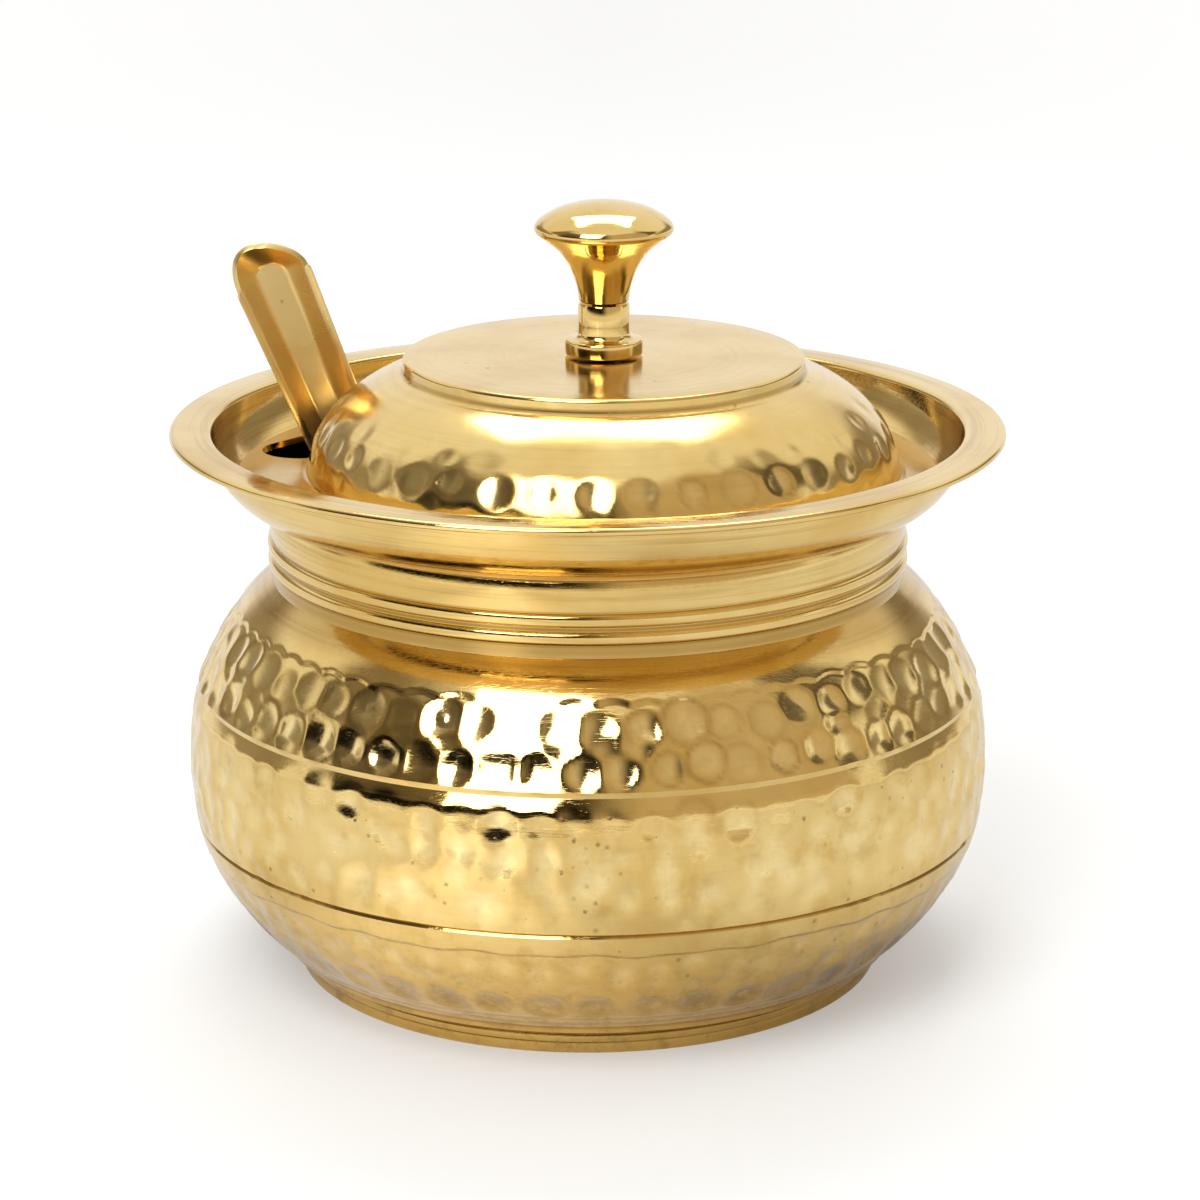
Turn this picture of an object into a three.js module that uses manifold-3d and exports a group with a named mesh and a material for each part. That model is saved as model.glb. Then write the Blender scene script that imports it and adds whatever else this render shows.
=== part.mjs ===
// A brass ghee pot: a spun, hammered pot on a soldered foot ring, a domed lid with a turned knob, and a
// spoon with a trough-shaped handle that leans out of a slot in the lid.
// Millimetres. +Z is up, +X is to the right of the front view, and the origin is under the middle of the
// foot, on the table.
import * as THREE from 'three';
import { mergeVertices } from 'three/addons/utils/BufferGeometryUtils.js';
import Module from 'manifold-3d';

const wasm = await Module();
wasm.setup();

// Fits between pieces
const touchGap = 0.3; // between pieces that touch
const boreGap = 0.25; // round the screw in its holes
const cutOverrun = 2; // how far a cutter runs past what it cuts

// Foot ring
const footRadius = 42.9; // outside, on the table
const footFlare = 0.4; // how much wider the ring is at its top
const footHeight = 2.9;
const footThickness = 1.6;

// Pot body
const potSheet = 0.9; // the sheet that the pot is spun from
const bellyFootRadius = 43.9; // where the belly meets the foot ring
const bellyRadius = 58.5;
const bellyMiddleHeight = 31.5; // of the widest place
const shoulderRise = 26.9; // from the widest place up to the neck
const neckRadius = 45.95;
const neckLength = 10.9; // from the shoulder up to the cup
const cupRadius = 55; // outside of the cup under the lip
const cupBulge = 2.2; // how far the cup's wall bows out of a straight cone
const lipRadius = 60.15;
const cupRise = 11; // from the neck up to the top of the lip
const lipThickness = 1.1;
const lipEdgeRadius = 0.4;
const mouthEdgeRadius = 0.7; // where the lip turns down into the cup

// The belly's outline, as shares of the way up from the foot to the middle and on to the shoulder, and of
// the way out from the foot or the neck to the widest radius
const lowerBellyShares = [[0.1, 0.22], [0.24, 0.5], [0.42, 0.75], [0.6, 0.9], [0.8, 0.98]];
const upperBellyShares = [[0.24, 0.965], [0.465, 0.855], [0.69, 0.62], [0.87, 0.305]];

// Turned details of the body
const waistGrooveHeight = 42.2; // the crease of the V-groove round the belly
const waistGrooveRise = 0.85; // from the crease up to its upper edge
const waistGrooveDrop = 1.9; // from the crease down to its lower edge
const waistGrooveDepth = 0.55;
const lowGrooveHeight = 22.9; // the scribed line under the belly
const lowGrooveWidth = 0.9;
const lowGrooveDepth = 0.3;
const footLineHeight = 5.4; // the scribed line just over the foot
const footLineWidth = 0.8;
const footLineDepth = 0.25;
const lowerBeadRise = 2.8; // of its middle, above the shoulder
const beadPitch = 2.5; // from the lower bead to the upper one
const beadWidth = 1.9;
const beadRelief = 0.5;
const neckBandWidth = 4; // the smooth band between the beads and the cup
const neckBandRelief = 0.2;

// Lid
const lidSheet = 0.8;
const lidSeatDepth = 7.4; // from the top of the lip down to the underside of the brim
const brimWidth = 7.89; // from the brim's edge to the foot of a dome that stands in its middle
const domeOffset = 2.5; // the dome stands off the pot's axis, away from the slot
const domeRise = 14.5; // from the top of the brim to the step
const domeRoundness = 2.1; // 2 is an ellipse, and more is fuller
const discRadius = 28.9; // the raised disc
const discStep = 0.5; // how far the top of the dome stands out round the disc
const discRise = 2.2; // above the top of the dome
const discEdgeRadius = 0.5;

// Knob
const collarRadius = 5.6;
const collarHeight = 2.2;
const collarChamfer = 0.3;
const stemRadius = 3.7;
const stemFillet = 0.8; // between the stem and the collar
const stemJointHeight = 7.8; // of the joint in the stem, above the disc
const knobRadius = 9.9;
const knobEdgeHeight = 18.8; // of the knob's widest place, above the disc
const knobEdgeDepth = 1; // of the rounded edge under the widest place
const knobCrown = 3.5; // height of the crown above the widest place
const knobNeckShare = 0.68; // how far up the head its stem stays slim
const knobNeckWidthShare = 1.15; // of the stem's radius, up to there
const knobUnderEdgeShare = 0.97; // of the knob's radius, under its rounded edge
const screwRadius = 1.5;
const screwHeadRadius = 3;
const screwHeadHeight = 1.8;
const screwHeadTopShare = 0.8; // of the head's radius, across its flat end
const screwGrip = 5.5; // how far the screw reaches into the head
const washerRadius = 5;
const washerThickness = 0.8;

// Spoon slot in the lid
const slotWidth = 11.3;
const slotLength = 25; // over its round ends
const slotInset = 9.61; // from the brim's edge to the slot's middle, on top of the brim
const slotAzimuth = THREE.MathUtils.degToRad(157.8); // of its middle, from +X towards +Y
const slotTurn = THREE.MathUtils.degToRad(-17.8); // away from lying along the rim

// Spoon
const spoonSheet = 0.9;
const spoonLean = THREE.MathUtils.degToRad(22.5); // from upright
const spoonLeanAzimuth = THREE.MathUtils.degToRad(171.6); // the way the handle leans
const spoonTurn = THREE.MathUtils.degToRad(-163.8); // of the trough about the handle's own length
const spoonAlongSlot = 1.7; // from the slot's middle, towards its far end
const spoonAcrossSlot = -0.2; // from the slot's middle, towards the rim
const handleRise = 31.6; // from the lid's brim to the end of the handle
const handleEndHalfWidth = 5.85; // of the front face, between its lips
const handleEndFullness = 2.15; // of its round end: 2 is half a circle, and more is squarer
const handleEndSlantShare = 0.3; // of the way across, by which the hand-cut end is longer at its outer side
const handleSlotHalfWidth = 4.75; // where the handle passes the lid
const handleRootHalfWidth = 3.8; // where the handle leaves the bowl
const handleDepth = 3;
const handleFloorShare = 0.42; // of the handle's width that is flat floor
const handleWallPower = 1.3; // how roundly the trough's walls turn up
const bowlHalfLength = 16;
const bowlHalfWidth = 12.5;
const bowlDepth = 8;
const bowlBlend = 2.4; // softness of the turn from bowl to handle
const bowlReachShare = 1.3; // of its half length, the stretch of handle beside the bowl that has fine steps
const spoonBluntShare = 0.15; // of a step, that the spoon's two ends stop short of a point
const slopeStepShare = 0.1; // of the sheet, for taking the slope of the dish

// Facets
const potFacets = 48;
const knobFacets = 32;
const bellySteps = 20;
const insideSteps = 13;
const cupSteps = 6;
const domeSteps = 9;
const knobFlareSteps = 8;
const knobCrownSteps = 6;
const filletSteps = 3;
const slotEndSteps = 10;
const spoonAcrossSteps = 12;
const spoonTipSteps = 7;
const spoonBowlSteps = 12;
const spoonHandleSteps = 8;

// Finishes
const brass = { color: 0xcfa54c, roughness: 0.18, metalness: 1 };
const satinBrass = { color: 0xd9bd7c, roughness: 0.3, metalness: 1 };
const innerBrass = { color: 0xb08a3c, roughness: 0.4, metalness: 1 };

function point(radius, height) {
  return new THREE.Vector2(radius, height);
}

function revolve(outline, facets) {
  return new THREE.LatheGeometry(outline, facets).rotateX(Math.PI / 2);
}

// Points of an arc of a circle from one point to another. It bows out to the right of the way between them.
function bowedArc(from, to, bow, steps) {
  const chord = to.clone().sub(from);
  const right = point(chord.y, -chord.x).normalize();
  const radius = (chord.lengthSq() / 4 + bow * bow) / (2 * bow);
  const centre = from.clone().add(to).divideScalar(2).addScaledVector(right, bow - radius);
  const start = from.clone().sub(centre).angle();
  const end = to.clone().sub(centre).angle();
  const sweep = THREE.MathUtils.euclideanModulo(end - start, Math.PI * 2);
  const points = [];
  for (let step = 0; step <= steps; step += 1) {
    const angle = start + sweep * step / steps;
    points.push(point(centre.x + radius * Math.cos(angle), centre.y + radius * Math.sin(angle)));
  }
  return points;
}

// The same outline moved to its left by a distance, with mitred corners.
function inset(outline, distance) {
  return outline.map((here, index) => {
    const before = here.clone().sub(outline[Math.max(index - 1, 0)]).normalize();
    const after = outline[Math.min(index + 1, outline.length - 1)].clone().sub(here).normalize();
    if (index === 0) before.copy(after);
    if (index === outline.length - 1) after.copy(before);
    const left = point(-before.y - after.y, before.x + after.x).normalize();
    const mitre = distance / (left.x * -before.y + left.y * before.x);
    return here.clone().addScaledVector(left, mitre);
  });
}

function toSolid(geometry) {
  const bare = geometry.clone();
  bare.deleteAttribute('normal');
  bare.deleteAttribute('uv');
  const merged = mergeVertices(bare);
  return new wasm.Manifold(new wasm.Mesh({
    numProp: 3,
    vertProperties: new Float32Array(merged.attributes.position.array),
    triVerts: new Uint32Array(merged.index.array),
  }));
}

function toGeometry(solid) {
  const mesh = solid.getMesh();
  const geometry = new THREE.BufferGeometry();
  geometry.setAttribute('position', new THREE.BufferAttribute(mesh.vertProperties, 3));
  geometry.setIndex(new THREE.BufferAttribute(mesh.triVerts, 1));
  return geometry;
}

function namedMesh(name, geometry, finish) {
  const mesh = new THREE.Mesh(geometry, new THREE.MeshStandardMaterial(finish));
  mesh.name = name;
  return mesh;
}

// Foot ring
function makeFootRing() {
  const inside = footRadius - footThickness;
  const outline = [
    point(inside, 0),
    point(footRadius, 0),
    point(footRadius + footFlare, footHeight),
    point(inside + footFlare, footHeight),
    point(inside, 0),
  ];
  return revolve(outline, potFacets);
}

// Pot body
const bellyBottom = footHeight + touchGap;
const shoulderHeight = bellyMiddleHeight + shoulderRise;
const neckTopHeight = shoulderHeight + neckLength;
const lipHeight = neckTopHeight + cupRise;
const cupTopHeight = lipHeight - lipThickness;

function bellyOutline() {
  const stations = [point(bellyFootRadius, bellyBottom)];
  for (const [up, out] of lowerBellyShares) {
    stations.push(point(
      THREE.MathUtils.lerp(bellyFootRadius, bellyRadius, out),
      THREE.MathUtils.lerp(bellyBottom, bellyMiddleHeight, up),
    ));
  }
  stations.push(point(bellyRadius, bellyMiddleHeight));
  for (const [up, out] of upperBellyShares) {
    stations.push(point(
      THREE.MathUtils.lerp(neckRadius, bellyRadius, out),
      THREE.MathUtils.lerp(bellyMiddleHeight, shoulderHeight, up),
    ));
  }
  stations.push(point(neckRadius, shoulderHeight));
  return new THREE.SplineCurve(stations);
}

const belly = bellyOutline();

// The belly's radius at a height, found by halving the stretch of its outline that holds it.
function bellyRadiusAt(height) {
  let low = 0;
  let high = 1;
  for (let round = 0; round < 40; round += 1) {
    const middle = (low + high) / 2;
    if (belly.getPoint(middle).y < height) low = middle;
    else high = middle;
  }
  return belly.getPoint(low).x;
}

function cupOutline() {
  return bowedArc(point(neckRadius, neckTopHeight), point(cupRadius, cupTopHeight), cupBulge, cupSteps);
}

function groovePoints(height, drop, rise, depth) {
  return [
    point(bellyRadiusAt(height - drop), height - drop),
    point(bellyRadiusAt(height) - depth, height),
    point(bellyRadiusAt(height + rise), height + rise),
  ];
}

function beadPoints(height) {
  const half = beadWidth / 2;
  const round = half * Math.SQRT1_2;
  return [
    point(neckRadius, height - half),
    point(neckRadius + beadRelief * Math.SQRT1_2, height - round),
    point(neckRadius + beadRelief, height),
    point(neckRadius + beadRelief * Math.SQRT1_2, height + round),
    point(neckRadius, height + half),
  ];
}

function bellyWithGrooves() {
  const grooves = [
    groovePoints(footLineHeight, footLineWidth / 2, footLineWidth / 2, footLineDepth),
    groovePoints(lowGrooveHeight, lowGrooveWidth / 2, lowGrooveWidth / 2, lowGrooveDepth),
    groovePoints(waistGrooveHeight, waistGrooveDrop, waistGrooveRise, waistGrooveDepth),
  ];
  const outsideGrooves = belly.getPoints(bellySteps).filter(({ y }) => (
    grooves.every((groove) => y < groove[0].y - lowGrooveWidth || y > groove[2].y + lowGrooveWidth)
  ));
  return [...outsideGrooves, ...grooves.flat()].sort((a, b) => a.y - b.y);
}

function lipPoints() {
  const innerRadius = cupRadius - potSheet;
  const outerEdge = lipRadius - lipEdgeRadius;
  const turn = mouthEdgeRadius * (1 - Math.SQRT1_2);
  return [
    point(outerEdge, cupTopHeight),
    point(lipRadius, cupTopHeight + lipEdgeRadius),
    point(lipRadius, lipHeight - lipEdgeRadius),
    point(outerEdge, lipHeight),
    point(innerRadius + mouthEdgeRadius, lipHeight),
    point(innerRadius + turn, lipHeight - turn),
    point(innerRadius, lipHeight - mouthEdgeRadius),
  ];
}

// The inside follows the outside without its grooves and beads.
function insideOutline() {
  const outside = [
    point(0, bellyBottom),
    ...belly.getPoints(insideSteps),
    ...cupOutline(),
  ];
  return inset(outside, potSheet);
}

function makePotBody() {
  const outline = [
    point(0, bellyBottom),
    ...bellyWithGrooves(),
    ...beadPoints(shoulderHeight + lowerBeadRise),
    ...beadPoints(shoulderHeight + lowerBeadRise + beadPitch),
    point(neckRadius + neckBandRelief, neckTopHeight - neckBandWidth),
    point(neckRadius + neckBandRelief, neckTopHeight - neckBandRelief),
    ...cupOutline(),
    ...lipPoints(),
    ...insideOutline().reverse(),
  ];
  return revolve(outline, potFacets);
}

// Lid
const lidSeatHeight = lipHeight - lidSeatDepth; // underside of the brim
const brimTop = lidSeatHeight + lidSheet;
const domeTopHeight = brimTop + domeRise;
const discHeight = domeTopHeight + discRise;
const domeTopRadius = discRadius + discStep;

// The brim's radius is what the cup leaves it at the seat.
function makeBrimRadius() {
  const inner = inset(cupOutline(), potSheet);
  const above = inner.findIndex(({ y }) => y > lidSeatHeight);
  const low = inner[above - 1];
  const high = inner[above];
  const share = (lidSeatHeight - low.y) / (high.y - low.y);
  return THREE.MathUtils.lerp(low.x, high.x, share) - touchGap;
}

const brimRadius = makeBrimRadius();
const domeRadius = brimRadius - brimWidth; // outside, where the dome meets the brim
const domeCentre = new THREE.Vector3(
  -domeOffset * Math.cos(slotAzimuth),
  -domeOffset * Math.sin(slotAzimuth),
  0,
);

function domeOutline() {
  const middleRadius = domeTopRadius / 2;
  const width = domeRadius - middleRadius;
  const topShare = (domeTopRadius - middleRadius) / width;
  const height = (domeTopHeight - brimTop) / (1 - topShare ** domeRoundness) ** (1 / domeRoundness);
  const points = [];
  for (let step = 0; step <= domeSteps; step += 1) {
    const angle = Math.acos(topShare) * step / domeSteps;
    const out = Math.cos(angle);
    const up = (1 - out ** domeRoundness) ** (1 / domeRoundness);
    points.push(point(middleRadius + width * out, brimTop + height * up));
  }
  points.push(
    point(discRadius, domeTopHeight + discEdgeRadius / 2),
    point(discRadius, discHeight - discEdgeRadius),
    point(discRadius - discEdgeRadius, discHeight),
    point(0, discHeight),
  );
  return points;
}

// The slot is cut along the lean of the handle, and its place is its middle on top of the brim.
function slotCutter() {
  const end = (slotLength - slotWidth) / 2;
  const outline = new THREE.Shape()
    .absarc(end, 0, slotWidth / 2, -Math.PI / 2, Math.PI / 2)
    .absarc(-end, 0, slotWidth / 2, Math.PI / 2, Math.PI * 3 / 2);
  const below = lidSheet + cutOverrun;
  const depth = below + discHeight - brimTop + cutOverrun;
  const cutter = new THREE.ExtrudeGeometry(outline, {
    depth,
    bevelEnabled: false,
    curveSegments: slotEndSteps,
  });
  cutter.rotateZ(slotDirection.angle());
  cutter.translate(0, 0, -below);
  cutter.applyMatrix4(new THREE.Matrix4().makeBasis(
    new THREE.Vector3(1, 0, 0),
    new THREE.Vector3(0, 1, 0),
    spoonDirection.clone().divideScalar(spoonDirection.z),
  ));
  cutter.translate(slotMiddle.x, slotMiddle.y, brimTop);
  return cutter;
}

function makeLid() {
  const brim = [
    point(0, lidSeatHeight),
    point(brimRadius, lidSeatHeight),
    point(brimRadius, brimTop),
    point(0, brimTop),
  ];
  const dome = [point(0, lidSeatHeight), point(domeRadius, lidSeatHeight), ...domeOutline()];
  const insideDome = inset(domeOutline(), lidSheet);
  const hollow = [
    point(0, lidSeatHeight - cutOverrun),
    point(insideDome[0].x, lidSeatHeight - cutOverrun),
    ...insideDome,
  ];
  const screwHole = new THREE.CylinderGeometry(
    screwRadius + boreGap,
    screwRadius + boreGap,
    2 * cutOverrun,
    knobFacets,
  ).rotateX(Math.PI / 2).translate(0, 0, discHeight);
  const atDome = (geometry) => geometry.translate(domeCentre.x, domeCentre.y, 0);
  const solid = toSolid(revolve(brim, potFacets))
    .add(toSolid(atDome(revolve(dome, potFacets))))
    .subtract(toSolid(atDome(revolve(hollow, potFacets))))
    .subtract(toSolid(atDome(screwHole)))
    .subtract(toSolid(slotCutter()));
  return toGeometry(solid);
}

// Knob
function makeKnobBase() {
  const bore = screwRadius + boreGap;
  const bottom = touchGap;
  const top = stemJointHeight - touchGap / 2;
  const stemFoot = bottom + collarHeight;
  const fillet = [];
  for (let step = 0; step <= filletSteps; step += 1) {
    const angle = Math.PI / 2 * step / filletSteps;
    fillet.push(point(
      stemRadius + stemFillet * (1 - Math.sin(angle)),
      stemFoot + stemFillet * (1 - Math.cos(angle)),
    ));
  }
  const outline = [
    point(bore, bottom),
    point(collarRadius - collarChamfer, bottom),
    point(collarRadius, bottom + collarChamfer),
    point(collarRadius, stemFoot - collarChamfer),
    point(collarRadius - collarChamfer, stemFoot),
    ...fillet,
    point(stemRadius, top),
    point(bore, top),
    point(bore, bottom),
  ];
  return revolve(outline, knobFacets);
}

function makeKnobHead() {
  const bore = screwRadius + boreGap;
  const bottom = stemJointHeight + touchGap / 2;
  const boreTop = stemJointHeight + screwGrip + boreGap;
  const underEdge = knobEdgeHeight - knobEdgeDepth;
  const flare = new THREE.QuadraticBezierCurve(
    point(stemRadius, bottom),
    point(stemRadius * knobNeckWidthShare, THREE.MathUtils.lerp(bottom, underEdge, knobNeckShare)),
    point(knobRadius * knobUnderEdgeShare, underEdge),
  ).getPoints(knobFlareSteps);
  const crown = [];
  for (let step = 0; step < knobCrownSteps; step += 1) {
    const angle = Math.PI / 2 * step / knobCrownSteps;
    crown.push(point(knobRadius * Math.cos(angle), knobEdgeHeight + knobCrown * Math.sin(angle)));
  }
  crown.push(point(0, knobEdgeHeight + knobCrown));
  const boreOutline = [point(0, boreTop), point(bore, boreTop), point(bore, bottom)];
  return revolve([...boreOutline, ...flare, ...crown], knobFacets);
}

function makeWasher() {
  const bore = screwRadius + boreGap;
  const top = -lidSheet - touchGap;
  const bottom = top - washerThickness;
  return revolve([
    point(bore, bottom),
    point(washerRadius, bottom),
    point(washerRadius, top),
    point(bore, top),
    point(bore, bottom),
  ], knobFacets);
}

function makeScrew() {
  const headTop = -lidSheet - 2 * touchGap - washerThickness;
  const headBottom = headTop - screwHeadHeight;
  return revolve([
    point(0, headBottom),
    point(screwHeadRadius * screwHeadTopShare, headBottom),
    point(screwHeadRadius, headBottom + screwHeadHeight / 2),
    point(screwHeadRadius, headTop),
    point(screwRadius, headTop),
    point(screwRadius, stemJointHeight + screwGrip),
    point(0, stemJointHeight + screwGrip),
  ], knobFacets);
}

// Spoon, in its own frame: +Z up the handle, the trough open towards -Y, and the origin where the handle
// passes the lid
const slotMiddle = new THREE.Vector3(
  (brimRadius - slotInset) * Math.cos(slotAzimuth),
  (brimRadius - slotInset) * Math.sin(slotAzimuth),
  0,
);
const slotAngle = slotAzimuth - Math.PI / 2 + slotTurn;
const slotDirection = point(Math.cos(slotAngle), Math.sin(slotAngle));
const spoonDirection = new THREE.Vector3(
  Math.sin(spoonLean) * Math.cos(spoonLeanAzimuth),
  Math.sin(spoonLean) * Math.sin(spoonLeanAzimuth),
  Math.cos(spoonLean),
);
const spoonPlace = new THREE.Vector3(
  slotMiddle.x + spoonAlongSlot * slotDirection.x - spoonAcrossSlot * slotDirection.y,
  slotMiddle.y + spoonAlongSlot * slotDirection.y + spoonAcrossSlot * slotDirection.x,
  brimTop,
);
const potFloor = bellyBottom + potSheet;
// The bowl's rim stands on the pot's floor, so its middle lies above the floor by the rim's reach downwards.
const bowlReach = spoonSheet + Math.hypot(
  bowlHalfLength * Math.cos(spoonLean),
  bowlHalfWidth * Math.sin(spoonLean) * Math.cos(spoonTurn),
);
const bowlMiddle = -(spoonPlace.z - potFloor - touchGap - bowlReach) / Math.cos(spoonLean);
const handleEndMiddle = handleRise - handleEndHalfWidth; // of the handle's round end

function softMax(a, b, softness) {
  return (a + b + Math.hypot(a - b, softness)) / 2;
}

function handleHalfWidth(along) {
  if (along > 0) {
    return THREE.MathUtils.mapLinear(along, 0, handleRise, handleSlotHalfWidth, handleEndHalfWidth);
  }
  return THREE.MathUtils.mapLinear(along, bowlMiddle, 0, handleRootHalfWidth, handleSlotHalfWidth);
}

function spoonHalfWidth(along) {
  if (along > handleEndMiddle) {
    const share = Math.min((along - handleEndMiddle) / handleEndHalfWidth, 1);
    return handleHalfWidth(handleEndMiddle) * (1 - share ** handleEndFullness) ** (1 / handleEndFullness);
  }
  const share = Math.min(Math.abs(along - bowlMiddle) / bowlHalfLength, 1);
  const bowl = bowlHalfWidth * Math.sqrt(1 - share * share);
  if (along < bowlMiddle) return bowl;
  return softMax(bowl, handleHalfWidth(along), bowlBlend * share);
}

// How far the front of the sheet lies behind the plane of its lips.
function spoonDish(across, along) {
  const halfWidth = handleHalfWidth(Math.min(along, handleEndMiddle));
  const past = Math.max(along - handleEndMiddle, 0) / handleEndHalfWidth;
  const outAcross = Math.abs(across / halfWidth);
  const out = (outAcross ** handleEndFullness + past ** handleEndFullness) ** (1 / handleEndFullness);
  const wall = THREE.MathUtils.clamp((out - handleFloorShare) / (1 - handleFloorShare), 0, 1);
  const trough = handleDepth * (1 - wall ** handleWallPower);
  const share = (along - bowlMiddle) / bowlHalfLength;
  const bowl = Math.max(bowlDepth * (1 - (across / bowlHalfWidth) ** 2 - share ** 2), 0);
  if (share < 0) return bowl;
  return softMax(bowl, trough, bowlBlend * Math.min(share, 1) * bowl / bowlDepth);
}

function spoonStations() {
  const blunt = spoonBluntShare;
  const stations = [];
  for (let step = 0; step <= spoonTipSteps; step += 1) {
    const angle = Math.PI / 2 * (step + blunt) / (spoonTipSteps + blunt);
    stations.push(bowlMiddle - bowlHalfLength * Math.cos(angle));
  }
  const bowlEnd = bowlMiddle + bowlHalfLength * bowlReachShare;
  for (let step = 1; step <= spoonBowlSteps; step += 1) {
    stations.push(THREE.MathUtils.lerp(bowlMiddle, bowlEnd, step / spoonBowlSteps));
  }
  for (let step = 1; step <= spoonHandleSteps; step += 1) {
    stations.push(THREE.MathUtils.lerp(bowlEnd, handleEndMiddle, step / spoonHandleSteps));
  }
  for (let step = 1; step <= spoonTipSteps; step += 1) {
    const angle = Math.PI / 2 * step / (spoonTipSteps + blunt);
    stations.push(handleEndMiddle + handleEndHalfWidth * Math.sin(angle));
  }
  return stations;
}

function makeSpoon() {
  const stations = spoonStations();
  const columns = spoonAcrossSteps + 1;
  const step = spoonSheet * slopeStepShare;
  const front = [];
  const back = [];
  for (const along of stations) {
    const halfWidth = spoonHalfWidth(along);
    const past = Math.max(along - handleEndMiddle, 0) / handleEndHalfWidth;
    for (let column = 0; column < columns; column += 1) {
      const across = halfWidth * Math.sin(Math.PI / 2 * (2 * column / spoonAcrossSteps - 1));
      const slant = -handleEndSlantShare * past * across;
      const here = new THREE.Vector3(across, spoonDish(across, along), along + slant);
      const slopeAcross = (spoonDish(across + step, along) - spoonDish(across - step, along)) / (2 * step);
      const slopeAlong = (spoonDish(across, along + step) - spoonDish(across, along - step)) / (2 * step);
      const behind = new THREE.Vector3(-slopeAcross, 1, -slopeAlong).normalize();
      front.push(here);
      back.push(here.clone().addScaledVector(behind, spoonSheet));
    }
  }
  const points = [...front, ...back];
  const faces = [];
  const backStart = front.length;
  const quad = (a, b, c, d) => faces.push(a, b, c, a, c, d);
  const rows = stations.length;
  for (let row = 0; row < rows - 1; row += 1) {
    for (let column = 0; column < columns - 1; column += 1) {
      const corner = row * columns + column;
      quad(corner, corner + 1, corner + columns + 1, corner + columns);
      const behind = backStart + corner;
      quad(behind, behind + columns, behind + columns + 1, behind + 1);
    }
    const left = row * columns;
    quad(left, left + columns, backStart + left + columns, backStart + left);
    const right = left + columns - 1;
    quad(right, backStart + right, backStart + right + columns, right + columns);
  }
  const last = (rows - 1) * columns;
  for (let column = 0; column < columns - 1; column += 1) {
    quad(column, backStart + column, backStart + column + 1, column + 1);
    quad(last + column, last + column + 1, backStart + last + column + 1, backStart + last + column);
  }
  const geometry = new THREE.BufferGeometry().setFromPoints(points);
  geometry.setIndex(faces);
  return geometry;
}

// The assembly
const pot = new THREE.Group();
pot.add(namedMesh('pot_body', makePotBody(), brass));
pot.add(namedMesh('foot_ring', makeFootRing(), brass));
pot.add(namedMesh('lid_shell', makeLid(), satinBrass));

const knob = new THREE.Group();
knob.position.set(domeCentre.x, domeCentre.y, discHeight);
knob.add(namedMesh('knob_head', makeKnobHead(), brass));
knob.add(namedMesh('knob_base', makeKnobBase(), brass));
knob.add(namedMesh('knob_washer', makeWasher(), innerBrass));
knob.add(namedMesh('knob_screw', makeScrew(), innerBrass));
pot.add(knob);

const lean = new THREE.Group();
lean.position.copy(spoonPlace);
lean.rotation.set(0, spoonLean, spoonLeanAzimuth, 'ZYX');
const spoon = namedMesh('spoon', makeSpoon(), satinBrass);
spoon.rotation.z = spoonTurn;
lean.add(spoon);
pot.add(lean);

export default pot;
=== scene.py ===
"""A hammered brass ghee pot with a domed, knobbed lid and a spoon that leans out of a slot in the lid.

The pot is spun and hammered, the lid, foot and knob are turned, and the spoon is pressed from sheet. Sizes are
in millimetres and are turned into metres where a point is made.
"""

import logging
import math
from collections.abc import Callable
from dataclasses import dataclass, field
from enum import Enum

import bpy
import numpy as np
from mathutils import Matrix, Vector


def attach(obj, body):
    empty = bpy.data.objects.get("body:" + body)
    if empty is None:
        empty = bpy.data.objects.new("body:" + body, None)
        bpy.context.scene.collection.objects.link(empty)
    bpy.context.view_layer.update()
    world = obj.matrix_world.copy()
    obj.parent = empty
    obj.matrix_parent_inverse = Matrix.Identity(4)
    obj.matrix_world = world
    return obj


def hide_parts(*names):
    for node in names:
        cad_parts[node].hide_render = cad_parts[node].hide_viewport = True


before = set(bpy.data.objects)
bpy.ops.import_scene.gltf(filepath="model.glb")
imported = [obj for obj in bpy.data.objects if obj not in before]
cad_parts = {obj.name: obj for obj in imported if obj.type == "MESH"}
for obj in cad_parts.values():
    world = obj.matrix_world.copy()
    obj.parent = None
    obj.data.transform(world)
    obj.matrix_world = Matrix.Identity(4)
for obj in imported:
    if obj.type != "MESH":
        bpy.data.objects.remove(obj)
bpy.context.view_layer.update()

MM = 0.001
LOG = logging.getLogger("ghee_pot")

Point = tuple[float, float]
Outline = list[Point]
Triple = tuple[float, float, float]
Piece = bpy.types.Object
RadiusAt = Callable[[float], float]

# Colours that lie over clean brass, some of them painted shade and a painted highlight
CLOUD = (0.58, 0.37, 0.1)
PIT = (0.14, 0.08, 0.025)
# tarnish, with painted shade, low on the pot
TARNISH_AND_SHADE = (0.5, 0.31, 0.085)
LOW_STAIN = (0.3, 0.19, 0.06)
# painted shade along the edges of the hammer marks
CREASE_SHADE = (0.3, 0.17, 0.045)
# painted highlight in the hollows of the hammer marks
HOLLOW_HIGHLIGHT = (0.93, 0.74, 0.36)
DIRT = (0.27, 0.165, 0.045)
# painted shade in recesses and grooves
RECESS_SHADE = (0.36, 0.2, 0.04)
STREAK = (0.4, 0.23, 0.05)


class Body(Enum):
    """The bodies that the pieces ride on."""

    POT = "pot"
    LID = "lid"
    SPOON = "spoon"


class Slot(Enum):
    """The material slots of the record."""

    POLISHED = "polished_brass"
    SATIN = "satin_brass"
    INNER = "inner_brass"


# ---- Outlines ----


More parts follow.
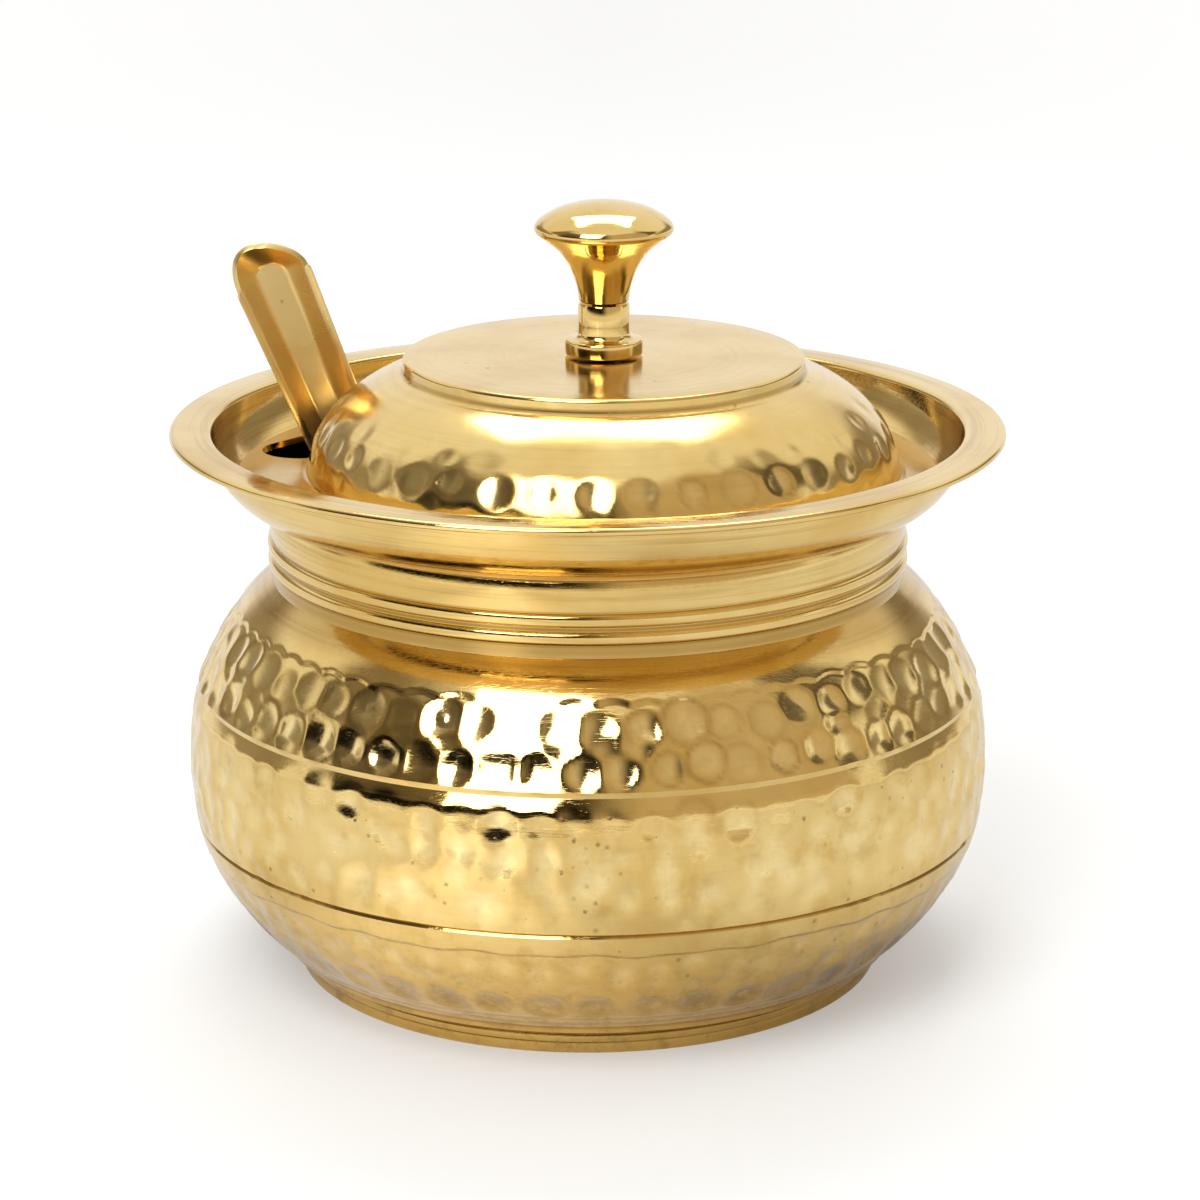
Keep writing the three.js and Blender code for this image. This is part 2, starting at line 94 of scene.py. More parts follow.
def spline(stations: Outline, per_span: int = 24) -> Outline:
    """Draws a smooth curve through a few stations.

    Args:
        stations: The points that the curve passes through.
        per_span: Steps between two stations.

    Returns:
        The points of the curve, the stations among them.
    """
    points = np.array(stations, float)
    last = len(points) - 1
    curve = []
    for i in range(last):
        p0, p1 = points[max(i - 1, 0)], points[i]
        p2, p3 = points[i + 1], points[min(i + 2, last)]
        v0, v1 = (p2 - p0) / 2, (p3 - p1) / 2
        for step in range(per_span):
            t = step / per_span
            curve.append((2 * p1 - 2 * p2 + v0 + v1) * t**3 + (-3 * p1 + 3 * p2 - 2 * v0 - v1) * t**2 + v0 * t + p1)
    curve.append(points[last])
    return [tuple(map(float, p)) for p in curve]


def evenly(curve: Outline, step: float) -> Outline:
    """Walks along a curve in even steps.

    Args:
        curve: The points of the curve.
        step: The wanted length of a step.

    Returns:
        Points about a step apart, with both ends kept.
    """
    points = np.array(curve, float)
    along = np.concatenate([[0], np.cumsum(np.hypot(*np.diff(points, axis=0).T))])
    stops = np.linspace(0, along[-1], max(2, round(along[-1] / step) + 1))
    return [(float(np.interp(s, along, points[:, 0])), float(np.interp(s, along, points[:, 1]))) for s in stops]


def bowed(start: Point, end: Point, bow: float, steps: int) -> Outline:
    """Draws a circle's arc that bows out to the right of the way from start to end.

    Args:
        start: Where the arc starts.
        end: Where it ends.
        bow: How far its middle lies from the straight line.
        steps: How many steps it has.

    Returns:
        The points of the arc, both ends among them.
    """
    a, b = np.array(start, float), np.array(end, float)
    chord = b - a
    right = np.array([chord[1], -chord[0]]) / np.hypot(*chord)
    radius = (chord @ chord / 4 + bow * bow) / (2 * bow)
    centre = (a + b) / 2 + right * (bow - radius)
    first = math.atan2(*(a - centre)[::-1])
    sweep = (math.atan2(*(b - centre)[::-1]) - first) % (2 * math.pi)
    angles = first + sweep * np.linspace(0, 1, steps + 1)
    return [(float(centre[0] + radius * math.cos(t)), float(centre[1] + radius * math.sin(t))) for t in angles]


def rounded(centre: Point, radius: float, start: float, end: float, steps: int = 4) -> Outline:
    """Draws a rounded edge as part of a circle.

    Args:
        centre: The circle's centre.
        radius: Its radius.
        start: The angle where the edge starts, in degrees.
        end: The angle where it ends.
        steps: How many steps it has.

    Returns:
        The points of the edge.
    """
    angles = np.radians(np.linspace(start, end, steps + 1))
    return [(centre[0] + radius * math.cos(t), centre[1] + radius * math.sin(t)) for t in angles]


def inset(curve: Outline, distance: float) -> Outline:
    """Moves an outline to its left, as the far face of a sheet.

    Args:
        curve: The points of the outline.
        distance: How far it moves.

    Returns:
        The moved points.
    """
    points = np.array(curve, float)
    way = np.gradient(points, axis=0)
    way /= np.hypot(way[:, 0], way[:, 1])[:, None]
    moved = points + distance * np.stack([-way[:, 1], way[:, 0]], 1)
    return [tuple(map(float, p)) for p in moved]


# ---- Work with Blender's own tools ----


class Bench:
    """The tools that every piece is made with."""

    @staticmethod
    def pick(piece: Piece | None = None) -> None:
        """Selects one piece and makes it active, or deselects everything.

        Args:
            piece: The piece, or nothing.
        """
        bpy.ops.object.select_all(action="DESELECT")
        if piece:
            piece.select_set(True)
            bpy.context.view_layer.objects.active = piece

    @staticmethod
    def turn(name: str, outline: Outline, steps: int) -> Piece:
        """Turns an outline round the upright axis, as on a lathe.

        Args:
            name: The name of the piece.
            outline: Radius and height of each point, round the piece anticlockwise.
            steps: How many steps make the full turn.

        Returns:
            The turned piece, at the origin.
        """
        Bench.pick()
        radius, height = outline[0]
        bpy.ops.mesh.primitive_plane_add(size=MM, location=(0, 0, 0))
        piece = bpy.context.object
        piece.name = piece.data.name = name
        bpy.ops.object.mode_set(mode="EDIT")
        bpy.ops.mesh.merge(type="CENTER")
        bpy.ops.transform.translate(value=(radius * MM, 0, height * MM))
        for (r0, z0), (r1, z1) in zip(outline, outline[1:]):
            bpy.ops.mesh.extrude_region_move(TRANSFORM_OT_translate={"value": ((r1 - r0) * MM, 0, (z1 - z0) * MM)})
        bpy.ops.mesh.select_all(action="SELECT")
        bpy.ops.mesh.spin(
            steps=steps, dupli=False, angle=2 * math.pi, use_auto_merge=False, center=(0, 0, 0), axis=(0, 0, 1)
        )
        bpy.ops.mesh.select_all(action="SELECT")
        bpy.ops.mesh.remove_doubles(threshold=0.002 * MM)
        bpy.ops.mesh.normals_make_consistent(inside=False)
        bpy.ops.object.mode_set(mode="OBJECT")
        return piece

    @staticmethod
    def edit(piece: Piece, *steps: Callable[[], object]) -> None:
        """Takes some steps in edit mode, with all of a piece selected.

        Args:
            piece: The piece.
            steps: What is done.
        """
        Bench.pick(piece)
        bpy.ops.object.mode_set(mode="EDIT")
        for step in steps:
            bpy.ops.mesh.select_all(action="SELECT")
            step()
        bpy.ops.object.mode_set(mode="OBJECT")

    @staticmethod
    def face_out() -> None:
        """Turns all selected faces outwards."""
        bpy.ops.mesh.normals_make_consistent(inside=False)

    @staticmethod
    def smooth(piece: Piece, degrees: float) -> None:
        """Shades a piece smooth, apart from edges sharper than an angle."""
        Bench.pick(piece)
        bpy.ops.object.shade_smooth_by_angle(angle=math.radians(degrees), keep_sharp_edges=False)

    @staticmethod
    def settle(piece: Piece) -> None:
        """Applies a piece's place, turn and size to its mesh."""
        Bench.pick(piece)
        bpy.ops.object.transform_apply(location=True, rotation=True, scale=True)

    @staticmethod
    def work_on(piece: Piece, kind: str, **settings: object) -> None:
        """Puts a modifier on a piece and applies it.

        Args:
            piece: The piece.
            kind: The modifier's kind.
            settings: Its settings.
        """
        Bench.pick(piece)
        tool = piece.modifiers.new(kind.lower(), kind)
        for name, value in settings.items():
            setattr(tool, name, value)
        bpy.ops.object.modifier_apply(modifier=tool.name)

    @staticmethod
    def cut(piece: Piece, cutter: Piece) -> None:
        """Cuts a piece with another, and throws the cutter away."""
        Bench.work_on(piece, "BOOLEAN", operation="DIFFERENCE", solver="EXACT", object=cutter)
        bpy.data.objects.remove(cutter)

    @staticmethod
    def read(piece: Piece, what: str) -> np.ndarray:
        """Reads three numbers from each of a piece's vertices.

        Args:
            piece: The piece.
            what: What they are called there.

        Returns:
            A row for each vertex.
        """
        flat = np.empty(len(piece.data.vertices) * 3, np.float32)
        piece.data.vertices.foreach_get(what, flat)
        return flat.reshape(-1, 3).astype(float)

    @staticmethod
    def places(piece: Piece) -> np.ndarray:
        """Gives the places of a piece's vertices, in millimetres."""
        return Bench.read(piece, "co") / MM

    @staticmethod
    def place(piece: Piece, points: np.ndarray) -> None:
        """Puts a piece's vertices at these places, in millimetres."""
        piece.data.vertices.foreach_set("co", (points * MM).astype(np.float32).ravel())
        piece.data.update()

    @staticmethod
    def finish(piece: Piece, brass: bpy.types.Material, body: Body, slot: Slot, node: str) -> None:
        """Dresses a piece, sets it on its body and reports it.

        Args:
            piece: The piece.
            brass: Its finish.
            body: What it rides on.
            slot: The record's material slot; not used.
            node: The CAD node that it stands for.
        """
        piece.data.materials.clear()
        piece.data.materials.append(brass)
        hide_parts(node)
        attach(piece, body.value)
        triangles = sum(len(p.vertices) - 2 for p in piece.data.polygons)
        LOG.info("%s: %d triangles on %s", piece.name, triangles, body.value)


# ---- Hammering ----


@dataclass(frozen=True)
class DimpleRow:
    """One round of hammer marks.

    Attributes:
        height: Height of the marks' middles.
        pitch: Distance from mark to mark round the pot.
        radius: A mark's radius.
        depth: How deep its middle lies.
        stray: How far a mark strays from its place.
        soft: Whether the marks run into each other with no rim.
        stain: How much tarnish they hold, from 0 to 1.
    """

    height: float
    pitch: float
    radius: float
    depth: float
    stray: float
    soft: bool = False
    stain: float = 0.0


class Hammer:
    """Sinks rounds of dimples into a turned piece."""

    RIM_PLACE, RIM_WIDTH = 0.97, 0.13  # of the painted shade along a mark's edge, as shares of its radius
    RIM_SHADE_DEPTH = 0.4  # from this depth on, the painted shade along a mark's edge has its full strength
    KEPT_DEPTH, KEPT_RIM = 0.85, 0.6  # what a later blow leaves of the one before
    HOLLOW_FROM, HOLLOW_OVER = 0.1, 0.28  # the depth from which a highlight is painted into a hollow, and over what range

    def __init__(self, seed: int) -> None:
        """Starts the hammer's unsteady hand from a seed."""
        self.hand = np.random.default_rng(seed)

    def marks(self, row: DimpleRow, radius_at: RadiusAt) -> np.ndarray:
        """Sets out one row.

        Args:
            row: The row.
            radius_at: Gives the piece's radius at a height.

        Returns:
            For each mark its place, radius and depth, whether it is soft, and its stain.
        """
        around = 2 * math.pi * radius_at(row.height)
        count = max(6, round(around / row.pitch))
        angle = 2 * math.pi * (np.arange(count) + self.hand.uniform(-0.5, 0.5)) / count
        angle = angle + self.hand.normal(0, row.stray, count) / radius_at(row.height)
        height = row.height + self.hand.normal(0, row.stray, count)
        reach = row.radius * self.hand.uniform(0.82, 1.16, count)
        depth = row.depth * self.hand.uniform(0.55, 1.25, count)
        radius = np.array([radius_at(z) for z in height])
        soft, stain = np.full(count, float(row.soft)), row.stain * self.hand.uniform(0.5, 1.0, count)
        return np.stack([radius * np.cos(angle), radius * np.sin(angle), height, reach, depth, soft, stain], 1)

    def strike(
        self,
        piece: Piece,
        rows: list[DimpleRow],
        radius_at: RadiusAt,
        outside: Callable[[np.ndarray, np.ndarray], np.ndarray],
        centre: Point = (0.0, 0.0),
    ) -> None:
        """Sinks all the rows into the outer face of a piece, and notes where shade and highlights are painted and
        where stains lie.

        Args:
            piece: The piece.
            rows: Its rows of marks.
            radius_at: Gives the piece's radius at a height.
            outside: Picks the outer face's vertices by radius and height.
            centre: The piece's axis.
        """
        marks = np.concatenate([self.marks(row, radius_at) for row in rows])
        marks[:, :2] += centre
        points, normals = Bench.places(piece), Bench.read(piece, "normal")
        radius = np.hypot(points[:, 0] - centre[0], points[:, 1] - centre[1])
        chosen = np.where(outside(radius, points[:, 2]))[0]
        sunk, rim_shades, stains = np.zeros((3, len(chosen)))
        for x, y, z, reach, depth, soft, stain in marks:
            away = np.square(points[chosen] - (x, y, z)).sum(1) / reach**2
            near = away < 1.3
            away = away[near]
            cap = np.maximum(1 - away, 0)
            if soft:
                sunk[near] += depth * cap**2
                continue
            # a later blow flattens the rim of the one before
            inside = away < 1
            sunk[near] = np.where(inside, np.maximum(depth * cap, sunk[near] * self.KEPT_DEPTH), sunk[near])
            # painted shade along the mark's edge
            rim = np.exp(-np.square((np.sqrt(away) - self.RIM_PLACE) / self.RIM_WIDTH))
            rim = rim * min(1.0, (depth / self.RIM_SHADE_DEPTH) ** 2)
            rim_shades[near] = np.where(inside, np.maximum(rim, rim_shades[near] * self.KEPT_RIM), np.maximum(rim_shades[near], rim))
            stains[near] = np.maximum(stains[near], stain * np.minimum(cap * 1.6, 1))
        points[chosen] -= normals[chosen] * sunk[:, None]
        Bench.place(piece, points)
        # where a highlight is painted into the deeper marks
        hollows = np.clip((sunk - self.HOLLOW_FROM) / self.HOLLOW_OVER, 0, 1)
        for name, values in (("crease_shade", rim_shades), ("hollows", hollows), ("stains", stains)):
            Hammer.note(piece, name, chosen, values)

    @staticmethod
    def note(piece: Piece, name: str, chosen: np.ndarray, values: np.ndarray) -> None:
        """Writes values on some of a piece's points, over what they held if that was less.

        Args:
            piece: The piece.
            name: The attribute's name.
            chosen: The numbers of the points.
            values: Their values.
        """
        made = piece.data.attributes.get(name) or piece.data.attributes.new(name, "FLOAT", "POINT")
        held = np.zeros(len(piece.data.vertices), np.float32)
        made.data.foreach_get("value", held)
        held[chosen] = np.maximum(held[chosen], values)
        made.data.foreach_set("value", held)


# ---- Finishes ----


class Value:
    """A number, place or colour in a shader's wiring, which plain arithmetic carries on."""

    def __init__(self, socket: bpy.types.NodeSocket) -> None:
        """Holds a node's output."""
        self.socket = socket

    def node(self, kind: str, *given: "Source", **more: object) -> "Value":
        """Adds a node that takes this value first."""
        return add_node(self.socket.id_data, kind, self, *given, **more)

    def math(self, operation: str, *others: "Source") -> "Value":
        """Works on this value in a Math node."""
        return self.node("Math", *others, operation=operation)

    def __add__(self, other: "Source") -> "Value":
        """Adds."""
        return self.math("ADD", other)

    def __sub__(self, other: "Source") -> "Value":
        """Takes away."""
        return self.math("SUBTRACT", other)

    def __rsub__(self, other: float) -> "Value":
        """Takes this value away from a number."""
        return add_node(self.socket.id_data, "Math", other, self, operation="SUBTRACT")

    def __mul__(self, other: "Source") -> "Value":
        """Multiplies."""
        return self.math("MULTIPLY", other)

    def __truediv__(self, other: "Source") -> "Value":
        """Divides."""
        return self.math("DIVIDE", other)

    def __abs__(self) -> "Value":
        """Drops the sign."""
        return self.math("ABSOLUTE")

    def at_least(self, other: "Source") -> "Value":
        """Gives the larger of two values."""
        return self.math("MAXIMUM", other)

    def clamped(self) -> "Value":
        """Keeps the result of a Math node between 0 and 1."""
        self.socket.node.use_clamp = True
        return self

    def rise(self, low: float, high: float, to_low: float = 0.0, to_high: float = 1.0) -> "Value":
        """Maps one range to another, smoothly and clamped."""
        return self.node("MapRange", low, high, to_low, to_high, interpolation_type="SMOOTHSTEP")

    def fall(self, low: float, high: float) -> "Value":
        """Falls smoothly from 1 to 0 over a range."""
        return self.rise(low, high, 1.0, 0.0)

    def noise(self, scale: float, detail: float = 3.0, rough: float = 0.55) -> "Value":
        """Gives the noise at this place."""
        return self.node("TexNoise", Scale=scale, Detail=detail, Roughness=rough)

    def between(self, first: "Source", second: "Source") -> "Value":
        """Mixes two colours, with this value as the share of the second."""
        return self.node("Mix", output=2, data_type="RGBA", at={6: first, 7: second})

    def also(self, output: str) -> "Value":
        """Gives another output of the same node."""
        return Value(self.socket.node.outputs[output])

    def parts(self, kind: str = "SeparateXYZ") -> "list[Value]":
        """Takes a place or a colour apart."""
        return [Value(socket) for socket in self.node(kind).socket.node.outputs]


Source = Value | float | tuple[float, ...]


def add_node(
    tree: bpy.types.NodeTree,
    kind: str,
    *given: Source,
    output: int | str = 0,
    at: dict[int, Source] | None = None,
    **more: object,
) -> Value | None:
    """Adds a shader node.

    Args:
        tree: Where it goes.
        kind: Its kind, without the words that all of them start with.
        given: What goes into its first inputs.
        output: The output that is wanted.
        at: What goes into inputs that are known by number.
        more: Its settings, and with a capital letter what goes into an input of that name.

    Returns:
        The wanted output, or nothing where the node has none.
    """
    made = tree.nodes.new("ShaderNode" + kind)
    inputs = dict(enumerate(given)) | (at or {})
    for name, value in more.items():
        if name[0].isupper():
            inputs[name.replace("_", " ")] = value
        else:
            setattr(made, name, value)
    for where, source in inputs.items():
        target = made.inputs[where]
        if isinstance(source, Value):
            tree.links.new(source.socket, target)
        elif target.type == "RGBA":
            target.default_value = (*source, 1.0)
        else:
            target.default_value = source
    return Value(made.outputs[output]) if made.outputs else None


def new_tree(owner: bpy.types.Material | bpy.types.World) -> bpy.types.NodeTree:
    """Gives a material or a world an empty tree of nodes.

    Args:
        owner: The material or the world.

    Returns:
        The tree.
    """
    owner.use_nodes = True
    owner.node_tree.nodes.clear()
    return owner.node_tree


class Effects:
    """The effects that more than one finish uses, each a node group."""

    def __init__(self) -> None:
        """Builds the groups once."""
        self.turning = self._group("turning_marks", "Height", self._turning, Rings=900.0)
        self.pits = self._group("pits", "Mask", self._pits, Scale=640.0, Amount=0.5)
        self.scratches = self._group("polishing_scratches", "Height", self._scratches, Scale=90.0)

    @staticmethod
    def _group(name: str, result: str, recipe: Callable[..., Value], **numbers: float) -> bpy.types.NodeTree:
        """Makes a node group.

        Args:
            name: The group's name.
            result: The name of its output.
            recipe: Works the output out from a place and the numbers.
            numbers: Its other inputs, and what they hold at first.

        Returns:
            The group.
        """
        tree = bpy.data.node_groups.new(name, "ShaderNodeTree")
        tree.interface.new_socket("Vector", in_out="INPUT", socket_type="NodeSocketVector")
        for label, start in numbers.items():
            tree.interface.new_socket(label, in_out="INPUT", socket_type="NodeSocketFloat").default_value = start
        tree.interface.new_socket(result, in_out="OUTPUT", socket_type="NodeSocketFloat")
        given = tree.nodes.new("NodeGroupInput").outputs
        made = recipe(*(Value(given[label]) for label in ("Vector", *numbers)))
        tree.links.new(made.socket, tree.nodes.new("NodeGroupOutput").inputs[result])
        return tree

    @staticmethod
    def _turning(place: Value, rings: Value) -> Value:
        """Draws the fine rings that a lathe tool and polishing leave round a turned piece.

        Args:
            place: The place.
            rings: How fine they are.

        Returns:
            Their height.
        """
        x, y, z = place.parts()
        radius = (x * x + y * y).math("SQRT")
        safe = radius.at_least(1e-5)
        where = (radius * rings).node("CombineXYZ", x / safe * 0.9, y / safe * 0.9)
        return where.node("TexNoise", noise_dimensions="4D", W=z * rings, Scale=1.0, Detail=4.0, Roughness=0.7)

    @staticmethod
    def _pits(place: Value, scale: Value, amount: Value) -> Value:
        """Scatters small dark pits and specks in loose clusters.

        Args:
            place: The place.
            scale: How close they lie.
            amount: How many there are, from 0 to 1.

        Returns:
            Where they are.
        """
        cells = place.node("TexVoronoi", feature="F1", Scale=scale, Randomness=1.0)
        draw, size, _ = cells.also("Color").parts("SeparateColor")
        chosen = draw.math("GREATER_THAN", 1.0 - amount * 0.3)
        spot = (1.0 - cells / (size * 0.3 + 0.06)).clamped()
        return (spot * chosen * place.noise(60.0, 2.0).rise(0.36, 0.56)).clamped()

    @staticmethod
    def _scratches(place: Value, scale: Value) -> Value:
        """Draws the hair-fine marks of polishing that run every way.

        Args:
            place: The place.
            scale: How fine they are.

        Returns:
            Their depth.
        """
        ridges = []
        for turn in (0.4, 1.5, 2.6):
            spun = place.node("Mapping", Rotation=(turn, turn * 0.7, turn * 1.3), Scale=(1.0, 14.0, 14.0))
            ridges.append(abs(spun.node("TexNoise", Scale=scale, Detail=2.0) - 0.5).fall(0.0, 0.02))
        return sum(ridges[1:], ridges[0])


@dataclass(frozen=True)
class BrassFinish:
    """A finish of brass.

    Attributes:
        name: The material's name.
        pale: Colour of the cleanest metal.
        deep: Colour where it is warmer or a little tarnished.
        gloss: Roughness of the polished metal.
        haze: How much rougher it is in patches.
        pits: How many pits and specks it has, from 0 to 1.
        rings: Depth of the turning marks.
        scratches: Depth of the polishing scratches.
        axis: Where the axis of its turning stands.
        shade_and_tarnish_below: Height under which the metal is painted darker, with tarnish and with painted shade
            where it mirrors the floor near the pot.
        pits_below: Height over which no pits lie.
        crease_shade: How dark the painted shade along the edges of the hammer marks is, from 0 to 1.
        turned_above: Height over which the turning marks have their full depth.
        recess_shades: Height, half width and darkness of the painted shade in each recess.
        streaks: How much the turning marks change the colour, from 0 to 1.
        waves: Depth of the unevenness under the pits.
    """

    name: str
    pale: Triple = (0.83, 0.61, 0.245)
    deep: Triple = (0.72, 0.48, 0.15)
    gloss: float = 0.11
    haze: float = 0.1
    pits: float = 0.5
    rings: float = 0.0
    scratches: float = 0.002
    axis: Point = (0.0, 0.0)
    shade_and_tarnish_below: float = 0.0
    pits_below: float = 200.0
    crease_shade: float = 0.0
    turned_above: float = 0.0
    recess_shades: tuple[Triple, ...] = ()
    streaks: float = 0.0
    waves: float = 0.0

    def make(self, effects: Effects) -> bpy.types.Material:
        """Builds the material.

        Args:
            effects: The shared effects.

        Returns:
            The material.
        """
        material = bpy.data.materials.new(self.name)
        tree = new_tree(material)
        place = add_node(tree, "TexCoord", output="Object")
        z = place.parts()[2]
        pitted = z.fall((self.pits_below - 2) * MM, self.pits_below * MM)
        spots = place.node("Group", node_tree=effects.pits, Amount=self.pits) * pitted
        rough = place.noise(130.0, 5.0, 0.65).rise(0.35, 0.75, self.gloss, self.gloss + self.haze)
        colour = place.noise(55.0, 4.0).rise(0.32, 0.72).between(self.pale, self.deep)
        clouds = place.noise(190.0, 3.0, 0.6).rise(0.5, 0.7, 0.0, 0.55 * self.pits)
        colour = (clouds * pitted).between(colour, CLOUD)
        colour = (spots * 0.85).between(colour, PIT)
        if self.shade_and_tarnish_below > 0:
            # darker towards the bottom: tarnish, and painted shade where the metal mirrors the floor near the pot
            low = z.fall(0.3 * self.shade_and_tarnish_below * MM, self.shade_and_tarnish_below * MM)
            colour = (low * 0.8).between(colour, TARNISH_AND_SHADE)
            stain = (low * place.noise(240.0, 6.0, 0.7).rise(0.45, 0.7)).clamped()
            colour = (stain * 0.6).between(colour, LOW_STAIN)
            rough = rough + stain * 0.18
        if self.crease_shade > 0:
            colour = self._hammered(place, z, colour)
        # painted shade in each recess
        for height, half, darkness in self.recess_shades:
            near = abs(z - height * MM).rise(0.25 * half * MM, half * MM, darkness, 0.0)
            colour = near.between(colour, RECESS_SHADE)
        scratches = place.node("Group", node_tree=effects.scratches)
        relief = scratches * (-self.scratches * MM) + spots * (-0.05 * MM)
        if self.waves > 0:
            relief = relief + place.noise(210.0, 2.0, 0.45) * pitted * (self.waves * MM)
        if self.rings > 0:
            centred = place.node("Mapping", Location=(-self.axis[0] * MM, -self.axis[1] * MM, 0.0))
            rings = centred.node("Group", node_tree=effects.turning)
            edge = self.turned_above * MM
            zone = z.rise(edge - 1.5 * MM, edge, 0.15, 1.0) if edge > 0 else 1.0
            relief = relief + rings * (self.rings * MM) * zone
            if self.streaks > 0:
                colour = (rings.rise(0.47, 0.66, 0.0, self.streaks) * zone).between(colour, STREAK)
        rough = (rough + spots * 0.3).clamped()
        bump = add_node(tree, "Bump", Distance=1.0, Height=relief)
        shader = add_node(tree, "BsdfPrincipled", Base_Color=colour, Metallic=1.0, Roughness=rough, Normal=bump)
        add_node(tree, "OutputMaterial", shader)
        return material

    def _hammered(self, place: Value, z: Value, colour: Value) -> Value:
        """Paints shade along the edges of the hammer marks and a highlight into their hollows, and stains the deep
        marks.

        Args:
            place: The place.
            z: Its height.
            colour: The colour so far.

        Returns:
            The new colour.
        """
        crease_shade, hollows, stains = (
            add_node(place.socket.id_data, "Attribute", output="Fac", attribute_name=name)
            for name in ("crease_shade", "hollows", "stains")
        )
        broken = place.noise(170.0, 3.0, 0.6).rise(0.36, 0.6, 0.35, 1.0)
        # painted shade along the edges of the hammer marks, broken up by noise
        colour = (crease_shade * broken * self.crease_shade).clamped().between(colour, CREASE_SHADE)
        # painted highlight in the hollows, brighter higher up the pot
        painted_sheen = place.noise(300.0, 4.0, 0.7).rise(0.3, 0.62, 0.25, 0.8)
        colour = (hollows * z.rise(0.012, 0.026, 0.25, 1.0) * painted_sheen).between(colour, HOLLOW_HIGHLIGHT)
        return (stains * place.noise(420.0, 5.0, 0.7).rise(0.34, 0.6, 0.3, 0.95)).between(colour, DIRT)


# ---- The pot ----


@dataclass
class Pot:
    """The spun and hammered body on its soldered foot ring."""

    sheet: float = 0.9
    foot_radius: float = 42.9
    foot_flare: float = 0.4
    foot_height: float = 2.9
    foot_thickness: float = 1.6
    belly: Outline = field(
        default_factory=lambda: [
            (43.9, 3.2), (47.11, 6.03), (51.2, 9.99), (54.85, 15.09), (57.04, 20.18), (58.21, 25.84), (58.5, 31.5),
            (58.06, 37.96), (56.68, 44.01), (53.73, 50.06), (49.78, 54.9), (45.95, 58.4),
        ]
    )
    hammered_top: float = 56.5
    neck_radius: float = 45.95
    neck_top: float = 69.3
    bead_heights: Point = (61.2, 63.7)
    bead_width: float = 1.9
    bead_relief: float = 0.5
    band_bottom: float = 65.3
    band_relief: float = 0.2
    cup_radius: float = 55.0
    cup_bulge: float = 2.2
    lip_radius: float = 60.15
    lip_height: float = 80.3
    lip_thickness: float = 1.1
    waist_groove: tuple[float, float, float, float] = (40.3, 42.2, 43.05, 0.5)  # low edge, crease, high edge, depth
    scribed_lines: tuple[Point, ...] = ((22.9, 0.28), (4.9, 0.2), (6.1, 0.16), (7.4, 0.14))  # height, depth
    scribed_half: float = 0.35
    low_ledge: float = 19.7
    high_ledge: float = 53.9
    ledge_depths: Point = (0.14, 0.24)
    steps: int = 528

    def __post_init__(self) -> None:
        """Draws the belly's curve once."""
        self.curve = spline(self.belly)
        self.radii, self.heights = np.array(self.curve).T

    def radius_at(self, height: float) -> float:
        """Gives the belly's outer radius at a height."""
        return float(np.interp(height, self.heights, self.radii))

    def skin(self, radius: np.ndarray, height: np.ndarray, bottom: float) -> np.ndarray:
        """Picks the points of the belly's outer face that can be hammered, from a height up."""
        deepest = np.interp(height, self.heights, self.radii) - 0.62
        return (height > bottom) & (height < self.hammered_top) & (radius > deepest)

    def relief(self, height: float) -> float:
        """Gives how deep the turned grooves are.

        Args:
            height: The height.

        Returns:
            The depth there.
        """
        low, crease, high, depth = self.waist_groove
        deep = 0.0
        if low < height <= crease:
            deep = depth * (height - low) / (crease - low)
        elif crease < height < high:
            deep = depth * (high - height) / (high - crease)
        for line, line_depth in self.scribed_lines:
            deep = max(deep, line_depth * (1 - abs(height - line) / self.scribed_half))
        return deep

    def outer(self) -> Outline:
        """Draws the outer face.

        Returns:
            Its points from the bottom's middle to the lip.
        """
        low, crease, high, _ = self.waist_groove
        zones = ((0, 8, 0.6), (8, 20.5, 0.8), (20.5, 37, 0.95), (37, 55, 0.6), (55, 60, 0.9))
        stops = {round(z, 3) for z0, z1, gap in zones for _, z in evenly(self.curve, gap) if z0 <= z < z1}
        half = self.scribed_half
        sharp = {low, crease, high} | {line + d for line, _ in self.scribed_lines for d in (-half, 0.0, half)}
        for ledge, reach in ((self.low_ledge, 0.75), (self.high_ledge, 1.0)):
            sharp |= {round(ledge + d, 3) for d in np.arange(-reach, reach + 0.01, 0.25)}
        stops = {z for z in stops if all(abs(z - s) > 0.2 for s in sharp)} | sharp
        bottom_radius, bottom = self.belly[0]
        points = [(0.0, bottom), (bottom_radius / 2, bottom)]
        points += [(self.radius_at(z) - self.relief(z), z) for z in sorted(stops)]
        for middle in self.bead_heights:
            for t in np.linspace(-1, 1, 9):
                out = self.bead_relief * math.sqrt(max(0.0, 1 - t * t))
                points.append((self.neck_radius + out, middle + self.bead_width / 2 * t))
        band = self.neck_radius + self.band_relief
        points += [
            (self.neck_radius + 0.03, self.band_bottom - 0.35), (band, self.band_bottom),
            (band + 0.05, (self.band_bottom + self.neck_top) / 2), (band, self.neck_top - 0.35),
        ]
        under_lip = self.lip_height - self.lip_thickness
        points += self.cup(14)
        points += [(self.cup_radius + 0.35, under_lip - 0.05), (self.cup_radius + 0.9, under_lip)]
        return points + rounded((self.lip_radius - 0.5, self.lip_height - 0.55), 0.53, -90, 90, 8)

    def cup(self, steps: int) -> Outline:
        """Draws the bowed wall of the cup from the neck to the lip."""
        end = (self.cup_radius, self.lip_height - self.lip_thickness)
        return bowed((self.neck_radius, self.neck_top), end, self.cup_bulge, steps)

